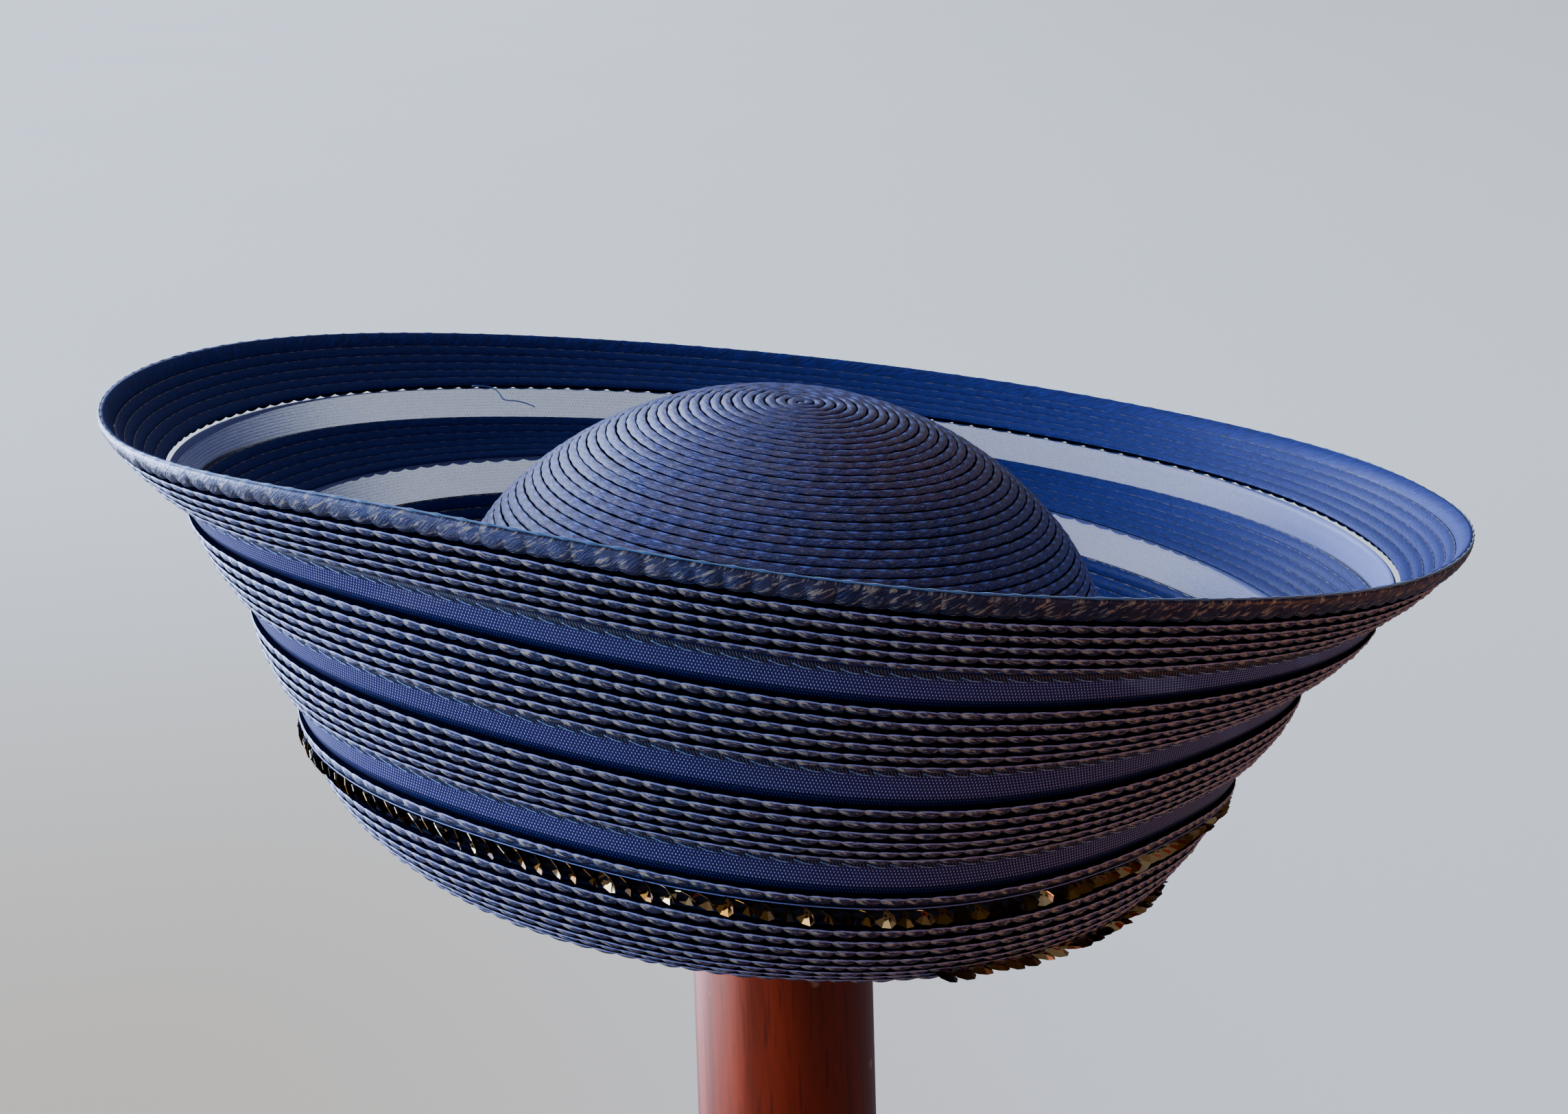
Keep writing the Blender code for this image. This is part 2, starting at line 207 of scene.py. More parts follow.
def on_crown(azimuth, down, out):
    """Points a distance down the crown's profile from its tip and out from it."""
    radius, shoulder_centre, _, facing, dome, shoulder, _ = crown_shape()
    top = np.minimum(down, dome) / CROWN_TOP_RADIUS
    middle = CROWN_TOP_SPREAD + np.clip(down - dome, 0.0, shoulder - dome) / radius
    angle = np.where(down <= dome, top, middle)
    reach, rise = np.sin(angle), np.cos(angle)
    on_dome = down <= dome
    base = np.where(on_dome, CROWN_TOP_RADIUS, radius) + out
    across = np.where(on_dome, 0.0, shoulder_centre.x) + reach * base
    height = np.where(on_dome, CROWN_HEIGHT - CROWN_TOP_RADIUS, shoulder_centre.y) + rise * base
    below = np.maximum(down - shoulder, 0.0)
    across = across + below * facing.y
    height = height - below * facing.x
    points = ring_point(azimuth, across, height)
    slip = TIP_SLIP * np.clip(1.0 - down / dome, 0.0, 1.0) ** 2
    rise = points[..., 2] - (CROWN_HEIGHT - CROWN_TOP_RADIUS)
    near = points[..., 1]
    points[..., 1] = near * np.cos(slip) - rise * np.sin(slip)
    points[..., 2] = near * np.sin(slip) + rise * np.cos(slip) + CROWN_HEIGHT - CROWN_TOP_RADIUS
    return points


def closeness(azimuth):
    """One where the sheer's weave is drawn close, round the front and sides, and nought at the open back."""
    back = np.clip((np.cos(azimuth - math.pi / 2) - 0.2) / 0.5, 0.0, 1.0)
    return 1.0 - back * back * (3.0 - 2.0 * back)


def hat_placement():
    centre = Matrix.Translation((0.0, 0.0, CROWN_TOP_RADIUS - CROWN_HEIGHT))
    lean = Matrix.Rotation(LEAN_RIGHT, 4, "Y") @ Matrix.Rotation(LEAN_FORWARD, 4, "X")
    return Matrix.Translation((SEAT_SHIFT, 0.0, SEAT_HEIGHT)) @ lean @ centre


PLACED = np.array(hat_placement())


def seated(points):
    """Take points from the hat's own frame to where the hat sits on its stand."""
    return points @ PLACED[:3, :3].T + PLACED[:3, 3]


# Materials

def linear(code):
    """Linear colour of an sRGB hex value."""
    channels = [int(code[k:k + 2], 16) / 255 for k in (1, 3, 5)]
    return (*[c / 12.92 if c <= 0.04045 else ((c + 0.055) / 1.055) ** 2.4 for c in channels], 1.0)


def feed(node, inputs):
    """Set each input of a node to a value, or link it to another node's output."""
    for key, value in inputs.items():
        if isinstance(value, bpy.types.Node):
            value = value.outputs[0]
        if isinstance(value, bpy.types.NodeSocket):
            node.id_data.links.new(value, node.inputs[key])
        else:
            node.inputs[key].default_value = value


def add_node(tree, kind, settings=None, inputs=None):
    """Add a node with its settings, and with each input set to a value or linked to another node's output."""
    made = tree.nodes.new(kind)
    for name, value in (settings or {}).items():
        setattr(made, name, value)
    feed(made, inputs or {})
    return made


def new_material(name):
    made = bpy.data.materials.new(name)
    made.use_nodes = True
    return made, made.node_tree, made.node_tree.nodes["Principled BSDF"]


# Kinds of node that most materials use, and their settings
MATH, RAMP, MIX, NOISE, BUMP = ("ShaderNodeMath", "ShaderNodeMapRange", "ShaderNodeMix", "ShaderNodeTexNoise",
                                "ShaderNodeBump")
ADD, SUBTRACT, MULTIPLY, MULTIPLY_ADD, MAXIMUM, FRACT, FLOOR, ABSOLUTE, COSINE = (
    {"operation": name} for name in ("ADD", "SUBTRACT", "MULTIPLY", "MULTIPLY_ADD", "MAXIMUM", "FRACT", "FLOOR",
                                     "ABSOLUTE", "COSINE"))
SMOOTH = {"interpolation_type": "SMOOTHSTEP"}
COLOURS = {"data_type": "RGBA"}


def layered(tree, colour, layers):
    """Lay colours over one another, each as strongly as its share says."""
    for share, paint in layers:
        paint = linear(paint) if isinstance(paint, str) else paint
        colour = add_node(tree, MIX, COLOURS, {0: share, 6: colour, 7: paint}).outputs[2]
    return colour


def strand_place(tree):
    """Along the row in links, across it from lip to lip, and how far along its own link a place is."""
    place = add_node(tree, "ShaderNodeUVMap", {"uv_map": "strand"})
    parts = add_node(tree, "ShaderNodeSeparateXYZ", None, {0: place})
    along, up = parts.outputs[0], parts.outputs[1]
    return along, up, add_node(tree, MATH, FRACT, {0: along})


def streaks(tree, along, up, slant, fine):
    """Noise drawn out along the strand and leaning across it."""
    in_link = add_node(tree, MATH, FRACT, {0: along})
    lean = add_node(tree, MATH, MULTIPLY_ADD, {0: in_link, 1: slant, 2: up})
    place = add_node(tree, "ShaderNodeCombineXYZ", None, {
        0: add_node(tree, MATH, MULTIPLY, {0: along, 1: fine[0]}),
        1: add_node(tree, MATH, MULTIPLY, {0: lean, 1: fine[1]})})
    return add_node(tree, NOISE, None, {"Vector": place, "Scale": 1.0, "Detail": 4.0, "Roughness": 0.7})


def stripe(tree, value, low, high, soft, strength=1.0):
    """Full strength between low and high, nought outside."""
    rise = add_node(tree, RAMP, SMOOTH, {0: value, 1: low - soft, 2: low + soft, 4: strength})
    fall = add_node(tree, RAMP, SMOOTH, {0: value, 1: high + soft, 2: high - soft})
    return add_node(tree, MATH, MULTIPLY, {0: rise, 1: fall})


def crossed(tree, first, low, high, second, start, full, strength):
    """Strong only where one value has risen from low to high and another from start to full."""
    rise = add_node(tree, RAMP, SMOOTH, {0: first, 1: low, 2: high, 4: strength})
    other = add_node(tree, RAMP, SMOOTH, {0: second, 1: start, 2: full})
    return add_node(tree, MATH, MULTIPLY, {0: rise, 1: other})


# How the fibres lean on a link, and how many streaks and flecks there are along a link and across a row. Real fibres
# are some hundredths of a millimetre wide, too fine to show, so a streak is drawn 0.25 to 0.6 mm wide and 2 to 4 mm
# long, and a fleck up to 1.2 mm wide.
FIBRES = {"brim": (0.6, (2.6, 10.0), (2.6, 5.5)), "crown": (-0.5, (3.0, 9.0), (4.0, 7.0)),
          "edge": (-0.9, (1.6, 10.0), (1.5, 5.0))}
# How much a painted highlight lightens a link's front, and how strongly its flecks show, partly as painted glints
PAINTED_FRONT_HIGHLIGHT = {"brim": 0.13, "crown": 0.0, "edge": 0.03}
FLECKS = {"brim": 1.0, "crown": 0.5, "edge": 0.6}


def braid_material(name, sizes, kind):
    """Rayon straw, dyed navy and plaited flat: silky film with pale fibre streaks and cream flecks that are partly
    painted glints, a painted highlight on each ridge and at the front of each link, blue thread along its lower lip,
    and painted shade under the lip and in the folds between the rows."""
    made, tree, shader = new_material(name)
    along, up, in_link = strand_place(tree)
    lean, fine, coarse = FIBRES[kind]
    fibre = streaks(tree, along, up, lean, fine)
    fleck = streaks(tree, along, up, lean * 0.7, coarse)
    link = add_node(tree, MATH, FLOOR, {0: along})
    chance = add_node(tree, "ShaderNodeTexWhiteNoise", {"noise_dimensions": "1D"}, {"W": link})
    # Painted highlight on each link's front, laid on in cream with the flecks: pale fibres, partly painted glints
    front = crossed(tree, in_link, 0.6, 0.1, up, 0.1, 0.5, PAINTED_FRONT_HIGHLIGHT[kind])
    flecks_and_painted_highlight = add_node(tree, MATH, ADD, {0: fleck, 1: front})
    straw = {"brim": sizes.braid_blue, "crown": sizes.crown_blue, "edge": sizes.rim_grey}[kind]
    colour = layered(tree, linear(sizes.braid_dark), (
        (add_node(tree, RAMP, SMOOTH, {0: fibre, 1: 0.41, 2: 0.58}), straw),
        (add_node(tree, MATH, MULTIPLY, {0: chance, 1: 0.6}),
         sizes.crown_plum if kind == "crown" else sizes.braid_plum),
        (add_node(tree, RAMP, SMOOTH, {0: flecks_and_painted_highlight, 1: 0.53, 2: 0.63, 4: sizes.fleck_share * FLECKS[kind]}),
         sizes.braid_cream),
        (add_node(tree, RAMP, SMOOTH, {0: fibre, 1: 0.6, 2: 0.72, 4: 0.35}), sizes.thread_blue)))
    # Black: painted shade under the lips and in the folds, and the dark joints between links
    black = "#010106"
    if kind == "crown":
        reach = add_node(tree, MATH, ABSOLUTE, {0: add_node(tree, MATH, SUBTRACT, {0: in_link, 1: 0.5})})
        height = add_node(tree, MATH, ABSOLUTE, {0: add_node(tree, MATH, SUBTRACT, {0: up, 1: 0.84})})
        diamond = add_node(tree, MATH, MULTIPLY_ADD, {0: height, 1: 1.6, 2: reach})
        # Light-blue diamonds of the plait, then painted shade: black in the fold between rows and under each lower lip
        colour = layered(tree, colour, (
            (add_node(tree, RAMP, SMOOTH, {0: diamond, 1: 0.42, 2: 0.22, 4: 0.7}), "#7f92ee"),
            (stripe(tree, up, 1.12, 1.95, 0.06), black),
            (add_node(tree, RAMP, SMOOTH, {0: up, 1: 0.06, 2: -0.04}), black)))
    else:
        # Painted highlight: a pale stripe along the crest of each brim row, shown where the fleck noise is high
        ridge = add_node(tree, MATH, MULTIPLY, {
            0: stripe(tree, up, 0.84, 1.02, 0.04, 0.8 if kind == "brim" else 0.0),
            1: add_node(tree, RAMP, SMOOTH, {0: fleck, 1: 0.3, 2: 0.5})})
        # Painted ridge highlight, lip thread and a dark line above it, dark link joints, and painted shade in folds and
        # under lips
        colour = layered(tree, colour, (
            (ridge, sizes.ridge_light),
            (stripe(tree, up, -0.03, 0.13, 0.02, 0.85), sizes.thread_blue),
            (stripe(tree, up, 0.17, 0.27, 0.02, 0.85), "#04061c"),
            (crossed(tree, in_link, 0.06, 0.0, up, 0.9, 0.4, 0.85), black),
            (stripe(tree, up, 1.04, 1.95, 0.03), black),
            (add_node(tree, RAMP, SMOOTH, {0: up, 1: -0.05, 2: -0.12}), black)))
    inside = layered(tree, linear(sizes.inner_dark), (
        (add_node(tree, RAMP, SMOOTH, {0: fibre, 1: 0.4, 2: 0.65}), sizes.inner_blue),))
    colour = layered(tree, colour, ((add_node(tree, RAMP, SMOOTH, {0: up, 1: 1.98, 2: 2.1}), inside),))
    rough_fibres = add_node(tree, MATH, MULTIPLY_ADD, {0: fleck, 1: 0.8, 2: fibre})
    bump = add_node(tree, BUMP, None, {"Strength": 1.0, "Distance": 0.35 * MM, "Height": rough_fibres})
    silky = add_node(tree, RAMP, None, {0: fibre, 1: 0.3, 2: 0.7, 3: 0.24, 4: 0.5})
    dull = add_node(tree, RAMP, SMOOTH, {0: up, 1: 1.98, 2: 2.1, 4: 0.62})
    rough = add_node(tree, MATH, MAXIMUM, {0: silky, 1: dull})
    feed(shader, {
        "Base Color": colour, "Normal": bump, "Roughness": rough, "Specular IOR Level": 0.5,
        "Specular Tint": linear("#7f9cff"), "Coat Weight": 0.06, "Coat Roughness": 0.25, "Sheen Weight": 0.08,
        "Sheen Tint": linear("#6f8fe8"), "Sheen Roughness": 0.35})
    return made


def painted_shade_fold_material():
    """The same straw deep in a fold between rows, as painted shade: almost black, dull and without gloss."""
    made, tree, shader = new_material("rayon straw in the folds, painted shade")
    along, up, _ = strand_place(tree)
    fibre = streaks(tree, along, up, -0.9, (4.0, 9.0))
    share = add_node(tree, RAMP, SMOOTH, {0: fibre, 1: 0.45, 2: 0.75})
    feed(shader, {
        "Base Color": layered(tree, linear("#020208"), ((share, "#0a0c24"),)), "Roughness": 1.0,
        "Specular IOR Level": 0.0})
    return made


def sheer_material(sizes):
    """Woven nylon crin: clear filaments that cross aslant, with a painted highlight dot at each crossing, painted light
    on its inner face and a dark selvage.
    """
    made, tree, shader = new_material("woven nylon crin")
    along, up, _ = strand_place(tree)
    waves = []
    for way in (ADD, SUBTRACT):
        slant = add_node(tree, MATH, way, {0: along, 1: up})
        turn = add_node(tree, MATH, MULTIPLY, {0: slant, 1: math.tau})
        waves.append(add_node(tree, MATH, COSINE, {0: turn}))
    crossing = add_node(tree, MATH, MULTIPLY_ADD, {0: waves[1], 1: 0.8, 2: waves[0]})
    # Crossings: thicker cover and bump, and painted highlights, pale in the veil and lighter blue on the selvage
    dots = add_node(tree, RAMP, SMOOTH, {0: crossing, 1: 1.0, 2: 1.6})
    share, close, inside = (add_node(tree, "ShaderNodeAttribute", {"attribute_name": mark}).outputs["Fac"]
                            for mark in ("share", "closeness", "inside"))
    low = add_node(tree, RAMP, SMOOTH, {0: share, 1: 0.22, 2: 0.13})
    selvage = add_node(tree, MATH, MULTIPLY, {0: low, 1: close})
    film = add_node(tree, MATH, MULTIPLY_ADD, {0: close, 1: sizes.sheer_front - sizes.sheer_back,
                                               2: sizes.sheer_back})
    thick = add_node(tree, MATH, MULTIPLY_ADD, {0: close, 1: 0.7, 2: 0.12})
    body = add_node(tree, MATH, MULTIPLY_ADD, {0: dots, 1: thick, 2: film})
    edge_cover = add_node(tree, MATH, MULTIPLY, {0: selvage, 1: 0.92})
    cover = add_node(tree, MATH, MAXIMUM, {0: body, 1: edge_cover})
    edge = layered(tree, linear("#04063a"), ((dots, "#3a57ae"),))
    # Painted light: the weave's inner face is painted a paler lavender than its outer face
    inner_painted_light = add_node(tree, MATH, MULTIPLY, {0: inside, 1: 0.85})
    veil = layered(tree, linear(sizes.sheer_navy), ((dots, sizes.sheer_light), (inner_painted_light, "#7c86cc"),
                                                    (selvage, edge)))
    bump = add_node(tree, BUMP, None, {"Strength": 0.8, "Distance": 0.2 * MM, "Height": dots})
    feed(shader, {
        "Alpha": cover, "Base Color": veil, "Normal": bump, "Roughness": 0.42, "Specular IOR Level": 0.25})
    return made


def selvage_material(sizes):
    """Overlocked edge of the crin: dark, with slanted pale stitches."""
    made, tree, shader = new_material("overlocked nylon edge")
    along, up, _ = strand_place(tree)
    turns = add_node(tree, MATH, MULTIPLY, {0: along, 1: 7.0 * math.tau})
    slant = add_node(tree, MATH, MULTIPLY_ADD, {0: up, 1: 1.1 * math.tau, 2: turns})
    stitch = add_node(tree, RAMP, SMOOTH, {0: add_node(tree, MATH, COSINE, {0: slant}), 1: 0.35, 2: 0.9})
    bump = add_node(tree, BUMP, None, {"Strength": 0.9, "Distance": 0.3 * MM, "Height": stitch})
    feed(shader, {
        "Base Color": layered(tree, linear("#06061a"), ((stitch, sizes.stitch),)), "Normal": bump, "Roughness": 0.6,
        "Specular IOR Level": 0.3})
    return made


def thread_material(name, colour, light):
    """Spun polyester thread: matt, with the twist's fine pale and dark turns."""
    made, tree, shader = new_material(name)
    along, up, _ = strand_place(tree)
    turns = add_node(tree, MATH, MULTIPLY, {0: along, 1: 3.0 * math.tau})
    slant = add_node(tree, MATH, MULTIPLY_ADD, {0: up, 1: math.tau, 2: turns})
    twist = add_node(tree, RAMP, SMOOTH, {0: add_node(tree, MATH, COSINE, {0: slant}), 1: -0.8, 2: 0.9})
    feed(shader, {
        "Base Color": layered(tree, linear(colour), ((twist, light),)), "Roughness": 0.55, "Sheen Weight": 0.3})
    return made


def sequin_material(sizes):
    """Vacuum-coated plastic sequins: hard bronze mirrors whose tone changes from one to the next."""
    made, tree, shader = new_material("vacuum-coated sequins")
    tone = add_node(tree, "ShaderNodeAttribute", {"attribute_name": "tone"}).outputs["Fac"]
    gold = layered(tree, linear(sizes.sequin_dark), (
        (add_node(tree, RAMP, SMOOTH, {0: tone, 1: 0.1, 2: 0.6}), sizes.sequin_bronze),
        (add_node(tree, RAMP, SMOOTH, {0: tone, 1: 0.6, 2: 1.0}), sizes.sequin_gold)))
    feed(shader, {
        "Base Color": gold, "Metallic": 1.0, "Roughness": 0.13})
    return made


def wood_material():
    """Mahogany, turned and French polished: red-brown pores and streaks under a clear gloss with a few pale nicks."""
    made, tree, shader = new_material("polished mahogany")
    place = add_node(tree, "ShaderNodeTexCoord").outputs["Object"]
    # The grain is 8 to 25 mm wide and 200 mm long. Real pores are a fifth of a millimetre wide, too fine to show, so
    # they are drawn 1.1 mm wide and 17 mm long.
    grain_place = add_node(tree, "ShaderNodeMapping", None, {"Vector": place, "Scale": (40.0, 130.0, 5.0)})
    grain = add_node(tree, NOISE, None, {"Vector": grain_place, "Scale": 1.0, "Detail": 6.0, "Roughness": 0.65,
                                         "Distortion": 0.4})
    pore_place = add_node(tree, "ShaderNodeMapping", None, {"Vector": place, "Scale": (900.0, 900.0, 60.0)})
    pore = add_node(tree, NOISE, None, {"Vector": pore_place, "Scale": 1.0, "Detail": 2.0})
    nick = add_node(tree, "ShaderNodeTexVoronoi", None, {"Vector": place, "Scale": 70.0, "Randomness": 1.0})
    few = add_node(tree, NOISE, None, {"Vector": place, "Scale": 38.0})
    colour = layered(tree, linear("#420e04"), (
        (add_node(tree, RAMP, SMOOTH, {0: grain, 1: 0.3, 2: 0.7}), "#982d0e"),
        (add_node(tree, RAMP, SMOOTH, {0: pore, 1: 0.55, 2: 0.7, 4: 0.5}), "#1c0603"),
        (crossed(tree, nick, 0.14, 0.06, few, 0.58, 0.64, 1.0), "#c99a78")))
    rough = add_node(tree, RAMP, None, {0: grain, 1: 0.3, 2: 0.7, 3: 0.3, 4: 0.4})
    bump = add_node(tree, BUMP, None, {"Strength": 0.25, "Distance": 0.1 * MM, "Height": pore})
    feed(shader, {
        "Base Color": colour, "Roughness": rough, "Normal": bump, "Specular IOR Level": 1.0,
        "Specular Tint": linear("#ff9c70"), "Coat Weight": 0.35, "Coat Tint": linear("#ffc9a8"), "Coat Roughness": 0.2})
    return made


def floor_material(sizes):
    """Seamless photographer's paper: matt and faintly uneven, with painted light that grows darker and warmer towards
    the front.
    """
    made, tree, shader = new_material("seamless paper")
    place = add_node(tree, "ShaderNodeTexCoord").outputs["Object"]
    cloud = add_node(tree, NOISE, None, {"Vector": place, "Scale": 0.8, "Detail": 1.0})
    parts = add_node(tree, "ShaderNodeSeparateXYZ", None, {0: place})
    side, depth = parts.outputs[0], parts.outputs[1]
    # Painted light: darker, warmer paper in front of the stand at the left, lighter in front at the right, palest far
    # behind
    far = layered(tree, linear(sizes.paper), ((add_node(tree, RAMP, SMOOTH, {0: side, 1: -1.5, 2: 2.5}), "#e6decb"),))
    colour = layered(tree, linear(sizes.paper_near), (
        (add_node(tree, RAMP, SMOOTH, {0: side, 1: -0.3, 2: 0.3}), "#ece2d2"),
        (add_node(tree, RAMP, SMOOTH, {0: depth, 1: 0.2, 2: 2.4}), far),
        (add_node(tree, MATH, MULTIPLY, {0: cloud, 1: 0.12}), "#c9cdd0")))
    feed(shader, {
        "Base Color": colour, "Roughness": 0.9, "Specular IOR Level": 0.1})
    return made


# Modelling by hand

def clear_selection():
    bpy.ops.object.select_all(action="DESELECT")


def move_picked(indices, offset):
    """In edit mode, move some of the active object's vertices."""
    mesh = bmesh.from_edit_mesh(bpy.context.object.data)
    mesh.verts.ensure_lookup_table()
    for vertex in mesh.verts:
        vertex.select = False
    for index in indices:
        mesh.verts[index].select = True
    mesh.select_flush_mode()
    bmesh.update_edit_mesh(bpy.context.object.data)
    bpy.ops.transform.translate(value=offset)


def model_link(kind, length):
    """One link of braid as an array of columns, sides and coordinates: a flat grid, its long lines moved to the
    cross-section, and its columns then swelled where the strand turns over."""
    section, pod = SHAPES[kind]
    columns, sides = len(pod), len(section)
    clear_selection()
    bpy.ops.mesh.primitive_grid_add(x_subdivisions=columns - 1, y_subdivisions=sides - 1, size=2.0)
    bpy.ops.object.mode_set(mode="EDIT")
    bpy.ops.mesh.select_mode(type="VERT")
    for side, (up, out, _) in enumerate(section):
        flat = side * 2.0 / (sides - 1) - 1.0
        move_picked([side * columns + k for k in range(columns)], (0.0, up * MM - flat, out * MM))
    for column, (_, rise, lift, shift) in enumerate(pod):
        for side, share in LIP_SHARES.items():
            move_picked([side * columns + column], (0.0, rise * share * MM, 0.0))
        for side, share in BODY_SHARES.items():
            move_picked([side * columns + column], (0.0, 0.0, lift * share * MM))
        move_picked([side * columns + column for side in RIDGE_LINES], (0.0, shift * MM, 0.0))
    bpy.ops.object.mode_set(mode="OBJECT")
    piece = bpy.context.object
    places = np.array([vertex.co for vertex in piece.data.vertices]).reshape(sides, columns, 3)
    bpy.data.objects.remove(piece)
    places[..., 0] = np.array([column[0] for column in pod])[None, :] * length
    return places.transpose(1, 0, 2)


def build_mesh(name, points, faces, uvs, marks, looks, slots=None):
    """Make a smooth mesh from points, four-sided faces, a map along the strand and marks at the points."""
    data = bpy.data.meshes.new(name)
    data.vertices.add(len(points))
    data.vertices.foreach_set("co", np.ascontiguousarray(points, np.float32).ravel())
    data.loops.add(faces.size)
    data.loops.foreach_set("vertex_index", np.ascontiguousarray(faces, np.int32).ravel())
    data.polygons.add(len(faces))
    data.polygons.foreach_set("loop_start", np.arange(0, faces.size, faces.shape[1], dtype=np.int32))
    data.update(calc_edges=True)
    layer = data.uv_layers.new(name="strand")
    layer.data.foreach_set("uv", np.ascontiguousarray(uvs, np.float32).ravel())
    for mark, values in marks.items():
        attribute = data.attributes.new(mark, "FLOAT", "POINT")
        attribute.data.foreach_set("value", np.ascontiguousarray(values, np.float32).ravel())
    data.validate()
    data.shade_smooth()
    for look in looks:
        data.materials.append(look)
    if slots is not None:
        data.polygons.foreach_set("material_index", np.ascontiguousarray(slots, np.int32))
    piece = bpy.data.objects.new(name, data)
    bpy.context.scene.collection.objects.link(piece)
    return piece


class Strip:
    """Gathers closed tubes and open strips of a grid into the arrays of one mesh."""

    def __init__(self):
        self.points, self.faces, self.uvs, self.slots, self.marks, self.count = [], [], [], [], {}, 0

    def add(self, points, u, v, closed_along, closed_round, marks, second=()):
        """Add a grid of points: u along it and v round it, each with one more value where it is closed. The faces
        above some sides take the second material."""
        columns, sides = points.shape[:2]
        i = np.arange(columns if closed_along else columns - 1)
        j = np.arange(sides if closed_round else sides - 1)
        i, j = (g.ravel() for g in np.meshgrid(i, j, indexing="ij"))
        i2, j2 = (i + 1) % columns, (j + 1) % sides
        index = np.arange(columns * sides).reshape(columns, sides) + self.count
        self.faces.append(np.stack([index[i, j], index[i2, j], index[i2, j2], index[i, j2]], axis=1))
        corners = ((u[i], v[j]), (u[i + 1], v[j]), (u[i + 1], v[j + 1]), (u[i], v[j + 1]))
        self.uvs.append(np.stack([np.stack(c, axis=-1) for c in corners], axis=1))
        self.slots.append(np.isin(j, second).astype(int))
        self.points.append(points.reshape(-1, 3))
        for mark, values in marks.items():
            self.marks.setdefault(mark, []).append(np.broadcast_to(values, (columns, sides)).ravel())
        if closed_round and not closed_along:
            for k in (0, columns - 1):
                self.cap(index[k], flip=k == 0, u=u[k], v=v)
        self.count += columns * sides

    def cap(self, ring, flip, u, v):
        """Close a tube's end with four-sided faces between its two halves."""
        half = len(ring)
        pairs = [(k, half - 1 - k) for k in range(half // 2)]
        for (a, b), (c, d) in zip(pairs, pairs[1:]):
            corners = [ring[a], ring[b], ring[d], ring[c]]
            self.faces.append(np.array([corners[::-1] if flip else corners]))
            self.uvs.append(np.array([[(u, v[a])] * 4]))
            self.slots.append(np.array([0]))

    def finish(self, name, *looks):
        marks = {mark: np.concatenate(values) for mark, values in self.marks.items()}
        return build_mesh(name, seated(np.concatenate(self.points)), np.concatenate(self.faces),
                          np.concatenate(self.uvs), marks, looks, np.concatenate(self.slots))


def wave(random, t, parts, size):
    """Slow closed waver along t from nought to one turn."""
    total = np.zeros_like(t)
    for _ in range(parts):
        total = total + np.sin(math.tau * (random.integers(2, 14) * t + random.random()))
    return total * size / parts


def colour_map(section):
    """Where each side of a row lies on the colour map, and the end of it where the tube closes."""
    return np.array([side[2] for side in section] + [MAP_END])


def sew_row(strip, kind, link, surface, foot, pitch, row, girth, random):
    """One closed row of links round the hat, its lower lip a distance up the surface."""
    section, pod = SHAPES[kind]
    columns, sides = link.shape[:2]
    length = link[-1, 0, 0] / pod[-1][0]
    links = max(8, round(girth / length))
    index = np.arange(links * columns)
    place = index // columns + link[index % columns, 0, 0] / length
    turn = place / links
    shape = link[index % columns]
    vigour = 1.0 + 0.36 * (random.random(links)[index // columns] - 0.5)
    drift = wave(random, turn, 4, 0.4 * length / girth) + random.random() * length / girth
    azimuth = np.broadcast_to((math.tau * (turn + drift))[:, None], (len(index), sides))
    scale = pitch / DRAWN_PITCH[kind]
    up = foot + shape[..., 1] * scale + wave(random, turn, 5, 0.10 * MM)[:, None]
    out = shape[..., 2] * np.where(shape[..., 2] > 0, vigour[:, None], 1.0)
    out = out + wave(random, turn, 3, 0.08 * MM)[:, None]
    u = np.append(place, float(links)) + ROW_OFFSET * row
    strip.add(surface(azimuth, up, out), u, colour_map(section), True, True, {}, PAINTED_SHADE_FOLD_FACES[kind])


def sew_spiral(strip, link, start, stop, pitch, random):
    """One long strand wound down the crown from a start to a stop, in metres down its profile."""
    section, pod = SHAPES["crown"]
    columns = len(link)
    length = link[-1, 0, 0] / pod[-1][0]
    downs, turns = [start], [start / pitch * math.tau]
    step = length / columns
    while downs[-1] < stop:
        radius = max(crown_radius(downs[-1]), 1.0 * MM)
        turns.append(turns[-1] + min(step / radius, 0.6))
        downs.append(turns[-1] / math.tau * pitch)
    down, turn = np.array(downs), np.array(turns)
    index = np.arange(len(down))
    shape = link[index % columns]
    vigour = 1.0 + 0.3 * (random.random(len(down) // columns + 1)[index // columns] - 0.5)
    up = shape[..., 1] * (pitch / DRAWN_PITCH["crown"])
    waver = 0.06 * MM * np.sin(turn * 3.1 + np.floor(down / pitch) * 1.7) + 0.05 * MM * np.sin(turn * 7.3)
    place = np.maximum(down[:, None] - up + waver[:, None], 0.1 * MM)
    out = shape[..., 2] * np.where(shape[..., 2] > 0, vigour[:, None], 1.0)
    azimuth = np.broadcast_to(turn[:, None], place.shape)
    strip.add(on_crown(azimuth, place, out), index / columns, colour_map(section), False, True, {},
              PAINTED_SHADE_FOLD_FACES["crown"])


def crown_radius(down):
    """How far from the crown's axis a place down its profile is."""
    point = on_crown(np.array([0.0]), np.array([down]), np.array([0.0]))[0]
    return float(point[0])


def ride_and_replace(piece, slot, *nodes):
    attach(piece, "root")
    if nodes:
        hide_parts(*nodes)
    return piece


LENGTH, SHARE, STRENGTH = {"unit": "LENGTH"}, {"min": 0.0, "max": 1.0}, {"min": 0.0}
